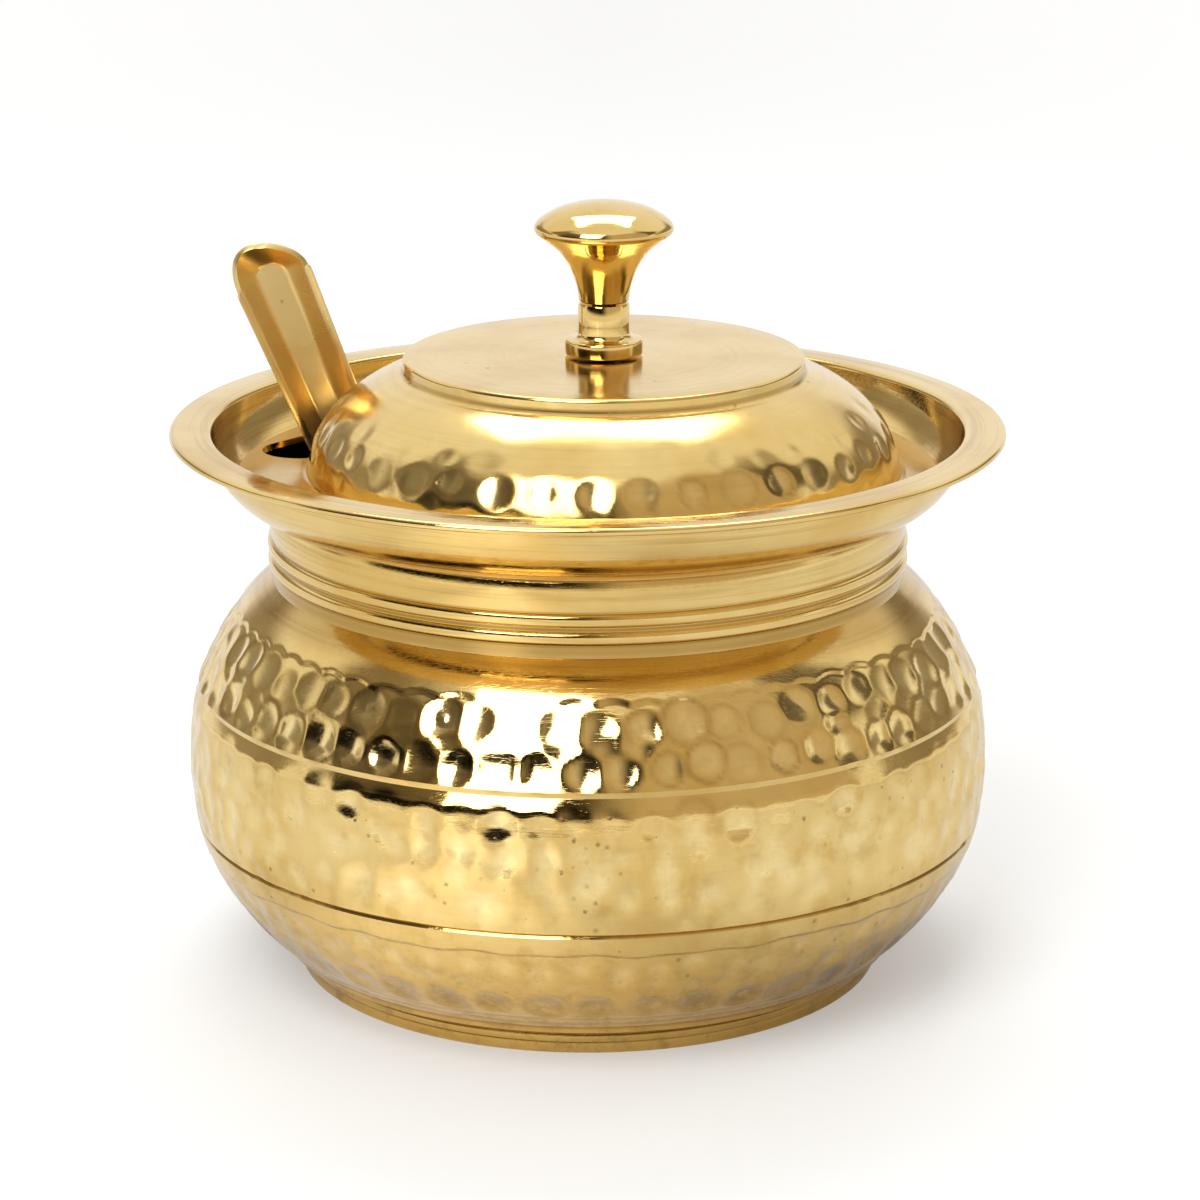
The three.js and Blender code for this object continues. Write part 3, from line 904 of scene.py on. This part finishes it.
    def inner(self) -> Outline:
        """Draws the inner face.

        Returns:
            Its points from the lip to the bottom's middle.
        """
        mouth = self.cup_radius - self.sheet
        top = [(self.lip_radius - 3, self.lip_height - 0.03), (mouth + 1.5, self.lip_height)]
        top += rounded((mouth + 0.75, self.lip_height - 0.75), 0.75, 90, 180, 5)
        floor = self.belly[0][1] + self.sheet
        wall = [p for p in inset(evenly(self.curve, 4.0) + self.cup(8), self.sheet) if p[1] > floor + 0.2]
        return top + wall[::-1][1:] + [(wall[0][0] - 0.8, floor), (20.0, floor), (0.0, floor)]

    def ledges(self, body: Piece) -> None:
        """Sinks the hammered zones a little under the smooth ones, with a wavy ledge where they meet.

        Args:
            body: The turned body.
        """
        points, normals = Bench.places(body), Bench.read(body, "normal")
        radius, z = np.hypot(points[:, 0], points[:, 1]), points[:, 2]
        angle = np.arctan2(points[:, 1], points[:, 0])
        outside = self.skin(radius, z, 8)
        scallops = 0.5 * np.abs(np.sin(32 * angle + 0.8 * np.sin(5 * angle))) + 0.2 * np.sin(7 * angle + 1)
        high = self.high_ledge - 0.3 + scallops
        wave = 0.16 * np.sin(23 * angle) + 0.13 * np.sin(41 * angle + 2) + 0.12 * np.sin(9 * angle + 4)
        low = self.low_ledge + wave
        upper = np.clip((high - z) / 0.3, 0, 1) * np.clip((z - self.waist_groove[2]) / 1.5, 0, 1)
        lower = np.clip((low - z) / 0.25, 0, 1) * np.clip((z - 8) / 3, 0, 1)
        sunk = np.where(outside, self.ledge_depths[1] * upper + self.ledge_depths[0] * lower, 0.0)
        points -= normals * sunk[:, None]
        Bench.place(body, points)
        # painted shade along the ledges' edges, and a stain along the low one
        rim = np.maximum(0.5 * np.clip(1 - np.abs(z - high) / 0.3, 0, 1), np.clip(1 - np.abs(z - low) / 0.22, 0, 1))
        chosen = np.where(outside)[0]
        Hammer.note(body, "crease_shade", chosen, rim[chosen])
        Hammer.note(body, "stains", chosen, 0.9 * np.clip(1 - np.abs(z - low) / 0.25, 0, 1)[chosen])

    def build(self, brass: bpy.types.Material, foot_brass: bpy.types.Material) -> None:
        """Makes the body and the foot ring.

        Args:
            brass: Finish of the body.
            foot_brass: Finish of the foot ring.
        """
        body = Bench.turn("pot_body_hammered", self.outer() + self.inner(), self.steps)
        sharp = (
            (50.9, 5.7, 2.95, 0.42, 0.35), (48.3, 7.0, 2.3, 0.26, 0.7), (45.7, 5.7, 2.8, 0.45, 0.3),
            (38.4, 5.4, 2.6, 0.2, 0.5),
        )
        soft = (
            (35.9, 5.6, 3.0, 0.3, 1.2), (33.0, 5.4, 2.9, 0.34, 1.1), (30.2, 5.8, 3.0, 0.32, 1.1),
            (27.4, 5.6, 3.1, 0.42, 0.8), (25.2, 5.6, 2.3, 0.2, 0.5), (16.9, 5.4, 2.7, 0.36, 0.5),
            (14.0, 5.4, 2.7, 0.34, 0.6),
        )
        rows = [DimpleRow(*row) for row in sharp] + [DimpleRow(*row, soft=True) for row in soft]
        rows.append(DimpleRow(9.9, 7.2, 3.1, 0.36, 0.25, stain=1.0))
        Hammer(11).strike(body, rows, self.radius_at, lambda r, z: self.skin(r, z, 4.5))
        self.ledges(body)
        Bench.smooth(body, 32)
        Bench.finish(body, brass, Body.POT, Slot.POLISHED, "pot_body")

        outside, top = self.foot_radius, self.foot_height
        inner = outside - self.foot_thickness
        outline = (
            [(inner + 0.25, 0.0), (outside - 0.3, 0.0)]
            + rounded((outside - 0.3, 0.3), 0.3, -90, 0, 3)[1:]
            + [(outside + 0.1, 1.5), (outside + 0.05, 1.65), (outside + 0.2, 1.8)]
            + rounded((outside + self.foot_flare - 0.25, top - 0.25), 0.25, 0, 90, 3)
            + [(inner + self.foot_flare, top), (inner, 0.3), (inner + 0.25, 0.0)]
        )
        foot = Bench.turn("foot_ring_turned", outline, 240)
        Bench.smooth(foot, 35)
        Bench.finish(foot, foot_brass, Body.POT, Slot.POLISHED, "foot_ring")


# ---- The lid ----


@dataclass
class Lid:
    """The lid's brim, hammered dome and raised disc, and the slot for the spoon."""

    sheet: float = 0.8
    seat: float = 72.9
    brim_radius: float = 50.59
    dome_radius: float = 42.7
    axis: Point = (2.315, -0.945)
    dome_top_radius: float = 29.4
    dome_top_height: float = 88.2
    roundness: float = 2.1
    disc_radius: float = 28.9
    disc_height: float = 90.4
    bore: float = 1.75
    slot_middle: Point = (-37.942, 15.483)
    slot_width: float = 11.3
    slot_length: float = 25.0
    slot_angle: float = 50.0
    lean: Triple = (-0.37858, 0.0559, 0.92388)
    steps: int = 440

    def dome(self) -> Outline:
        """Draws the dome's outer face.

        Returns:
            Its points from the brim up to the step.
        """
        middle = self.dome_top_radius / 2
        width = self.dome_radius - middle
        brim = self.seat + self.sheet
        power = self.roundness
        top = (self.dome_top_radius - middle) / width
        height = (self.dome_top_height - brim) / (1 - top**power) ** (1 / power)
        outs = [math.cos(math.acos(top) * t) for t in np.linspace(0, 1, 60)]
        return [(middle + width * out, brim + height * (1 - out**power) ** (1 / power)) for out in outs]

    def build(self, brass: bpy.types.Material) -> None:
        """Makes the lid's shell.

        Args:
            brass: Its finish.
        """
        seat, brim = self.seat, self.seat + self.sheet
        edge, dome, disc = self.brim_radius - 0.25, self.dome_radius, self.disc_radius
        step, top = self.dome_top_height, self.disc_height
        curve = self.dome()
        radii, heights = np.array(curve).T
        outer = (
            [(edge, seat)]
            + rounded((edge, seat + 0.25), 0.25, -90, 0, 3)[1:]
            + rounded((edge, brim - 0.25), 0.25, 0, 90, 3)
            + [(dome + 3.0, brim), (dome + 0.9, brim), (dome + 0.25, brim + 0.2)]
            + evenly(curve, 0.6)[1:]
            + [(disc + 0.35, step + 0.12), (disc + 0.08, step + 0.35), (disc, step + 0.8)]
            + rounded((disc - 0.5, top - 0.5), 0.5, 0, 90, 5)
            + [(24.0, top - 0.02), (16.0, top - 0.05), (8.0, top), (self.bore, top)]
        )
        inside, under = disc - self.sheet, top - self.sheet
        inner = (
            [(self.bore, under), (inside - 0.6, under), (inside, under - 0.5), (inside, step - self.sheet)]
            + [p for p in inset(evenly(curve, 1.6), self.sheet)[::-1] if p[0] > inside + 0.4 and p[1] > seat + 0.3]
            + [(dome - self.sheet, seat)]
        )
        shell = Bench.turn("lid_shell_hammered", outer + inner + [outer[0]], self.steps)
        points = Bench.places(shell)
        # the dome stands a little off the brim's own middle, away from the slot
        points[np.hypot(points[:, 0], points[:, 1]) < dome + 2, :2] += self.axis
        Bench.place(shell, points)
        rows = [
            DimpleRow(80.0, 6.8, 2.45, 0.33, 0.35),
            DimpleRow(83.2, 6.4, 2.6, 0.16, 0.7, soft=True),
            DimpleRow(77.0, 6.4, 2.3, 0.16, 0.5, soft=True),
        ]
        Hammer(5).strike(
            shell,
            rows,
            lambda z: float(np.interp(z, heights, radii)),
            lambda r, z: (z > 74.6) & (z < 87.0) & (r > np.interp(z, heights, radii) - 0.5) & (r < 44),
            self.axis,
        )
        Bench.cut(shell, self.slot_cutter())
        Bench.smooth(shell, 30)
        Bench.finish(shell, brass, Body.LID, Slot.SATIN, "lid_shell")

    def slot_cutter(self) -> Piece:
        """Makes the prism that cuts the round-ended slot along the spoon's lean.

        Returns:
            The prism.
        """
        Bench.pick()
        bpy.ops.mesh.primitive_circle_add(vertices=64, radius=self.slot_width / 2 * MM, fill_type="NGON")
        cutter = bpy.context.object
        points = Bench.places(cutter)
        points[:, 0] += np.sign(np.round(points[:, 0], 4)) * (self.slot_length - self.slot_width) / 2
        Bench.place(cutter, points)
        below, above = self.sheet + 2, self.disc_height - self.seat
        slope = Vector(self.lean) / self.lean[2]
        cutter.rotation_euler = (0, 0, math.radians(self.slot_angle))
        cutter.location = (Vector((*self.slot_middle, self.seat + self.sheet)) - slope * below) * MM
        Bench.settle(cutter)
        way = {"value": slope * (below + above) * MM}
        Bench.edit(cutter, lambda: bpy.ops.mesh.extrude_region_move(TRANSFORM_OT_translate=way), Bench.face_out)
        return cutter


@dataclass
class Knob:
    """The turned knob in two parts, and the screw and washer that hold it. Heights start on the raised disc."""

    axis: Point = (2.315, -0.945)
    disc_height: float = 90.4
    lid_sheet: float = 0.8
    gap: float = 0.3
    collar_radius: float = 5.6
    collar_height: float = 2.2
    stem_radius: float = 3.7
    joint_height: float = 7.8
    head_radius: float = 9.9
    edge_height: float = 18.8
    crown: float = 3.5
    bore: float = 1.75
    washer_radius: float = 5.0
    washer_thickness: float = 0.8
    screw_radius: float = 1.5
    grip: float = 5.5

    def turn(self, name: str, outline: Outline, steps: int, degrees: float = 35) -> Piece:
        """Turns one piece and stands it on the knob's axis.

        Args:
            name: The piece's name.
            outline: Its outline.
            steps: How many steps make the full turn.
            degrees: Edges sharper than this stay sharp.

        Returns:
            The piece.
        """
        piece = Bench.turn(name, [(r, z + self.disc_height) for r, z in outline], steps)
        Bench.pick(piece)
        bpy.ops.transform.translate(value=(self.axis[0] * MM, self.axis[1] * MM, 0))
        Bench.settle(piece)
        Bench.smooth(piece, degrees)
        return piece

    def build(self, brass: bpy.types.Material, inner_brass: bpy.types.Material) -> None:
        """Makes the knob's base, head, washer and screw.

        Args:
            brass: Finish of the base and the head.
            inner_brass: Finish of the washer and the screw.
        """
        foot, shoulder = self.gap, self.gap + self.collar_height
        joint_low, joint_high = self.joint_height - self.gap / 2, self.joint_height + self.gap / 2
        collar, stem, bore = self.collar_radius, self.stem_radius, self.bore
        base = (
            [(bore, foot), (collar - 0.2, foot)]
            + rounded((collar - 0.2, foot + 0.2), 0.2, -90, 0, 3)[1:]
            + [(collar + 0.03, foot + self.collar_height / 2)]
            + rounded((collar - 0.35, shoulder - 0.35), 0.35, 0, 90, 4)
            + rounded((stem + 0.9, shoulder + 0.9), 0.9, 270, 180, 6)
            + [(stem - 0.04, 4.6), (stem - 0.02, joint_low - 0.3), (stem - 0.14, joint_low)]
            + [(bore, joint_low), (bore, foot)]
        )
        Bench.finish(self.turn("knob_base_turned", base, 128), brass, Body.LID, Slot.POLISHED, "knob_base")

        hole, top = self.joint_height + self.grip + 0.25, self.edge_height + self.crown
        flare = [
            (3.58, joint_high + 0.12), (3.78, 9.6), (4.15, 11.0), (4.75, 12.6), (5.6, 14.1), (6.75, 15.5), (8.5, 16.9),
            (9.6, 17.7),
        ]
        crown = [
            (self.head_radius, self.edge_height), (9.55, 19.35), (8.6, 20.1), (6.6, 21.2), (4.0, 21.95),
            (1.6, top - 0.02), (0.0, top),
        ]
        head = (
            [(0.0, hole), (bore, hole), (bore, joint_high), (3.45, joint_high)]
            + spline(flare, 6)
            + [(9.85, 18.05), (9.95, 18.45)]
            + spline(crown, 6)
        )
        Bench.finish(self.turn("knob_head_turned", head, 160, 40), brass, Body.LID, Slot.POLISHED, "knob_head")

        washer_top = -self.lid_sheet - self.gap
        washer_bottom, rim = washer_top - self.washer_thickness, self.washer_radius
        washer = [
            (bore, washer_bottom), (rim - 0.2, washer_bottom), (rim, washer_bottom + 0.2), (rim, washer_top - 0.15),
            (rim - 0.15, washer_top), (bore, washer_top), (bore, washer_bottom),
        ]
        Bench.finish(self.turn("knob_washer_pressed", washer, 96), inner_brass, Body.LID, Slot.INNER, "knob_washer")

        seat, end = washer_bottom - self.gap, self.joint_height + self.grip
        screw = [(0.0, seat - 1.8), (1.4, seat - 1.75), (2.4, seat - 1.3), (2.95, seat - 0.5), (3.0, seat - 0.1)]
        screw += [(2.9, seat), (self.screw_radius, seat)]
        threads = np.arange(seat + 0.6, end - 0.4, 0.25)
        screw += [(self.screw_radius - (0.12 if i % 2 else 0.0), float(z)) for i, z in enumerate(threads)]
        piece = self.turn("knob_screw_slotted", screw + [(1.3, end), (0.0, end)], 64)
        Bench.pick()
        middle = (*self.axis, self.disc_height + seat - 1.7)
        bpy.ops.mesh.primitive_cube_add(size=MM, location=[c * MM for c in middle])
        driver_slot = bpy.context.object
        Bench.edit(driver_slot, lambda: bpy.ops.transform.resize(value=(7.0, 0.7, 1.2)))
        Bench.settle(driver_slot)
        Bench.cut(piece, driver_slot)
        Bench.finish(piece, inner_brass, Body.LID, Slot.INNER, "knob_screw")


# ---- The spoon ----


@dataclass
class Spoon:
    """The spoon, pressed from one sheet: a bowl, and a trough-shaped handle with a round end."""

    sheet: float = 0.9
    place: Triple = (-36.699, 16.659, 73.7)
    lean: float = 22.5
    azimuth: float = 171.6
    turn: float = -163.8
    rise: float = 31.6
    end_half_width: float = 5.85
    end_fullness: float = 2.15
    end_slant: float = 0.3
    slot_half_width: float = 4.75
    root_half_width: float = 3.8
    depth: float = 3.0
    floor_share: float = 0.42
    wall_power: float = 1.3
    bowl_middle: float = -57.3
    bowl_half_length: float = 16.0
    bowl_half_width: float = 12.5
    bowl_depth: float = 8.0
    blend: float = 2.4
    columns: int = 32
    rows: int = 150

    @property
    def end_middle(self) -> float:
        """Gives where the handle's round end starts."""
        return self.rise - self.end_half_width

    def handle_half(self, along: np.ndarray) -> np.ndarray:
        """Gives half the width of the handle at places along it."""
        halves = [self.root_half_width, self.slot_half_width, self.end_half_width]
        return np.interp(along, [self.bowl_middle, 0, self.rise], halves)

    @staticmethod
    def soft_max(a: np.ndarray, b: np.ndarray, softness: np.ndarray) -> np.ndarray:
        """Takes the larger of two values, with a soft turn from one to the other."""
        return (a + b + np.hypot(a - b, softness)) / 2

    def half_width(self, along: np.ndarray) -> np.ndarray:
        """Gives half the width of the whole spoon.

        Args:
            along: Places along it.

        Returns:
            Half the width at each.
        """
        share = np.clip((along - self.bowl_middle) / self.bowl_half_length, -1, 1)
        bowl = self.bowl_half_width * np.sqrt(1 - share**2)
        neck = self.soft_max(bowl, self.handle_half(along), self.blend * np.abs(share))
        past = np.clip((along - self.end_middle) / self.end_half_width, 0, 1)
        round_end = (1 - past**self.end_fullness) ** (1 / self.end_fullness)
        end = self.handle_half(np.full_like(along, self.end_middle)) * round_end
        return np.where(along > self.end_middle, end, np.where(share < 0, bowl, neck))

    def dish(self, across: np.ndarray, along: np.ndarray) -> np.ndarray:
        """Gives how deep the front face lies behind the plane of its lips.

        Args:
            across: Places across the spoon.
            along: Places along it.

        Returns:
            The depth at each.
        """
        half = self.handle_half(np.minimum(along, self.end_middle))
        past = np.maximum(along - self.end_middle, 0) / self.end_half_width
        out = (np.abs(across / half) ** self.end_fullness + past**self.end_fullness) ** (1 / self.end_fullness)
        wall = np.clip((out - self.floor_share) / (1 - self.floor_share), 0, 1)
        trough = self.depth * (1 - wall**self.wall_power)
        share = (along - self.bowl_middle) / self.bowl_half_length
        bowl = np.maximum(self.bowl_depth * (1 - (across / self.bowl_half_width) ** 2 - share**2), 0)
        softness = self.blend * np.clip(share, 0, 1) * bowl / self.bowl_depth
        return np.where(share < 0, bowl, self.soft_max(bowl, trough, softness))

    def build(self, brass: bpy.types.Material) -> None:
        """Makes the spoon.

        Args:
            brass: Its finish.
        """
        Bench.pick()
        bpy.ops.mesh.primitive_grid_add(x_subdivisions=self.columns, y_subdivisions=self.rows, size=2)
        spoon = bpy.context.object
        spoon.name = spoon.data.name = "spoon_pressed"
        grid = Bench.read(spoon, "co")
        # the rows crowd together towards the two round ends
        share = (grid[:, 1] + 1) / 2
        tip = self.bowl_middle - self.bowl_half_length
        crowd = share - np.sin(2 * math.pi * share) / (2 * math.pi) * 0.93
        along = tip + (self.rise - tip) * np.clip(crowd, 0.0006, 0.9996)
        across = self.half_width(along) * np.sin(math.pi / 2 * grid[:, 0])
        past = np.maximum(along - self.end_middle, 0) / self.end_half_width
        slant = -self.end_slant * past * across
        Bench.place(spoon, np.stack([across, self.dish(across, along), along + slant], 1))
        Bench.work_on(spoon, "SOLIDIFY", thickness=self.sheet * MM, offset=1.0, use_even_offset=False)
        Bench.work_on(
            spoon, "BEVEL", width=0.22 * MM, segments=2, limit_method="ANGLE", angle_limit=math.radians(55)
        )
        lean = Matrix.Rotation(math.radians(self.azimuth), 4, "Z") @ Matrix.Rotation(math.radians(self.lean), 4, "Y")
        turn = Matrix.Rotation(math.radians(self.turn), 4, "Z")
        spoon.matrix_world = Matrix.Translation(Vector(self.place) * MM) @ lean @ turn
        Bench.settle(spoon)
        Bench.edit(spoon, Bench.face_out)
        Bench.smooth(spoon, 40)
        Bench.finish(spoon, brass, Body.SPOON, Slot.SATIN, "spoon")


# ---- The studio ----


@dataclass
class Studio:
    """The pale floor, the soft light and the camera. Its places are in metres."""

    focal_length: float = 117.6
    camera_place: Triple = (0.00176, -0.5513, 0.2118)
    camera_pitch: float = 73.98
    floor_size: float = 12.0
    paper: Triple = (0.6, 0.61, 0.62)
    white: Triple = (1.0, 1.0, 1.0)
    warm_dark: Triple = (1.0, 0.83, 0.57)

    def camera(self) -> None:
        """Sets the camera where the photograph was taken from."""
        data = bpy.data.cameras.new("camera")
        data.lens, data.sensor_width = self.focal_length, 36.0
        data.clip_start, data.clip_end = 0.01, 50.0
        camera = bpy.data.objects.new("camera", data)
        bpy.context.scene.collection.objects.link(camera)
        camera.location = self.camera_place
        camera.rotation_euler = (math.radians(self.camera_pitch), 0, 0)
        bpy.context.scene.camera = camera

    def floor(self) -> None:
        """Lays the white floor, which glows white to the camera and dimmer in the metal's reflections, apart from a
        painted strip of light in front of the pot.
        """
        Bench.pick()
        bpy.ops.mesh.primitive_plane_add(size=self.floor_size, location=(0, 0, 0))
        floor = bpy.context.object
        floor.name = "floor"
        material = bpy.data.materials.new("white_paper")
        tree = new_tree(material)
        x, y, _ = add_node(tree, "TexCoord", output="Object").parts()
        camera_ray = add_node(tree, "LightPath", output="Is Camera Ray")
        # painted light: a bright strip, seen only in the metal's reflections, runs from the pot towards the softbox
        painted_light_strip = abs(x * 0.883 - y * 0.469).fall(0.008, 0.06) * y.fall(-0.05, 0.05)
        # far from the lamps the sweep glows brighter, to the camera and in the metal's reflections, in place of light
        # from the rest of the room
        far = (abs(x) + abs(y)).rise(0.6, 1.6, 0.0, 0.45)
        # the glow that the metal sees in the floor, with the painted strip of light
        painted_reflected_glow = (painted_light_strip * 0.45 + 0.09 + far) * camera_ray.also("Is Glossy Ray")
        glow = add_node(tree, "Emission", Strength=camera_ray * (far * 0.4 + 0.32) + painted_reflected_glow)
        add_node(tree, "OutputMaterial", add_node(tree, "BsdfDiffuse", self.paper).node("AddShader", glow))
        floor.data.materials.append(material)

    def lamp(self, name: str, azimuth: float, elevation: float, distance: float, size: Point, radiance: float) -> None:
        """Hangs a softbox that faces the pot.

        Args:
            name: Its name.
            azimuth: Its direction from the camera's side of the pot, in degrees, to the right if positive.
            elevation: Its height over the horizon, in degrees.
            distance: Its distance from the pot.
            size: Its width and height.
            radiance: How bright its face is, where 1 is white.
        """
        data = bpy.data.lights.new(name, "AREA")
        data.shape, data.size, data.size_y = "RECTANGLE", *size
        data.energy = radiance * math.pi * size[0] * size[1]
        lamp = bpy.data.objects.new(name, data)
        bpy.context.scene.collection.objects.link(lamp)
        a, e = math.radians(azimuth), math.radians(elevation)
        way = Vector((math.sin(a) * math.cos(e), -math.cos(a) * math.cos(e), math.sin(e)))
        lamp.location = Vector((0, 0, 0.05)) + way * distance
        lamp.rotation_euler = way.to_track_quat("Z", "Y").to_euler()

    def world(self) -> None:
        """Surrounds the pot with a white room that is dark towards the front, in the corners and over the panels."""
        world = bpy.data.worlds.new("room")
        bpy.context.scene.world = world
        tree = new_tree(world)
        way = add_node(tree, "TexCoord", output="Generated")
        x, y, z = way.parts()
        level = (1.0 - z * z).clamped().math("SQRT").at_least(0.001)
        uneven = way.noise(3.2, 3.0, 0.6)
        stray = (uneven - 0.5) * 0.3
        back, side = y / level + stray, x / level
        front = back.fall(-0.2, -0.05)
        corner = back.rise(0.04, 0.14) * back.fall(0.84, 0.95) * z.fall(0.3, 0.45)
        over_panels = z.rise(0.34, 0.46) * back.fall(0.15, 0.38)
        behind = corner.at_least(over_panels)
        wall = z.rise(0.01, 0.1) * (z + stray).fall(0.8, 0.92)
        dark = front.at_least(behind * 0.85) * wall
        right = side.rise(-0.12, 0.35) * (front * 0.6)
        left = (side.fall(-0.5, 0.1) * (behind * 0.13)).at_least(corner * 0.2)
        room = uneven.rise(0.38, 0.66, 0.008, 0.07) + right.at_least(left)
        seen = add_node(tree, "LightPath", output="Is Camera Ray")
        light = (dark * room + (1.0 - dark)).at_least(seen)
        tint = (dark * (1.0 - seen) * 0.85).between(self.white, self.warm_dark)
        add_node(tree, "OutputWorld", tint.node("Background", light))

    def build(self) -> None:
        """Sets up the studio."""
        self.camera()
        self.floor()
        self.world()
        self.lamp("front_softbox", -25, 44, 1.2, (0.62, 0.94), 5.8)
        self.lamp("top_softbox", 180, 62, 1.0, (0.62, 0.36), 5.0)
        bpy.context.scene.view_settings.view_transform = "Standard"


def main() -> None:
    """Builds the studio and the pot's pieces in order."""
    logging.basicConfig(level=logging.INFO, format="%(name)s: %(message)s")
    Studio().build()
    effects = Effects()
    hammered = BrassFinish(
        "hammered_brass", gloss=0.055, haze=0.08, pits=1.0, rings=0.008, scratches=0.0014, shade_and_tarnish_below=27.0, pits_below=41.0,
        waves=0.16, crease_shade=0.5, turned_above=56.5, streaks=0.4,
        # painted shade under the lip, in the neck's grooves and in the scribed lines
        recess_shades=(
            (57.9, 3.4, 0.5), (59.5, 1.0, 0.5), (60.2, 0.4, 0.9), (62.45, 0.4, 0.9), (64.75, 0.3, 0.6),
            (69.4, 0.4, 0.3), (22.9, 0.3, 0.8), (4.9, 0.3, 0.6), (6.1, 0.25, 0.5), (7.4, 0.25, 0.5),
        ),
    )
    foot_brass = BrassFinish(
        "foot_brass", pale=(0.72, 0.5, 0.17), deep=(0.6, 0.39, 0.11), gloss=0.16, haze=0.12, pits=0.9, rings=0.006,
        # painted shade: darker low on the foot, in its groove and where it meets the body
        shade_and_tarnish_below=5.0, streaks=0.4, recess_shades=((1.65, 0.25, 0.7), (2.9, 0.4, 0.8)),
    )
    lid = Lid()
    lid_brass = BrassFinish(
        "lid_brass", gloss=0.12, haze=0.08, pits=0.15, rings=0.004, scratches=0.0008, axis=lid.axis, crease_shade=0.5,
        # painted shade in the gap under the disc's edge and at the brim
        recess_shades=((88.7, 0.55, 0.7), (73.95, 0.5, 0.5)), streaks=0.12,
    )
    knob_brass = BrassFinish(
        "knob_brass", gloss=0.05, haze=0.04, pits=0.05, rings=0.0015, scratches=0.0004, axis=lid.axis
    )
    spoon_brass = BrassFinish(
        "spoon_brass", pale=(0.79, 0.6, 0.28), deep=(0.7, 0.5, 0.2), gloss=0.26, haze=0.1, pits=0.25, scratches=0.0008
    )
    inner_brass = BrassFinish("inner_brass", pale=(0.74, 0.56, 0.26), deep=(0.6, 0.42, 0.16), gloss=0.32, haze=0.15)
    Pot().build(hammered.make(effects), foot_brass.make(effects))
    lid.build(lid_brass.make(effects))
    Knob(axis=lid.axis).build(knob_brass.make(effects), inner_brass.make(effects))
    Spoon().build(spoon_brass.make(effects))


if __name__ == "__main__":
    main()
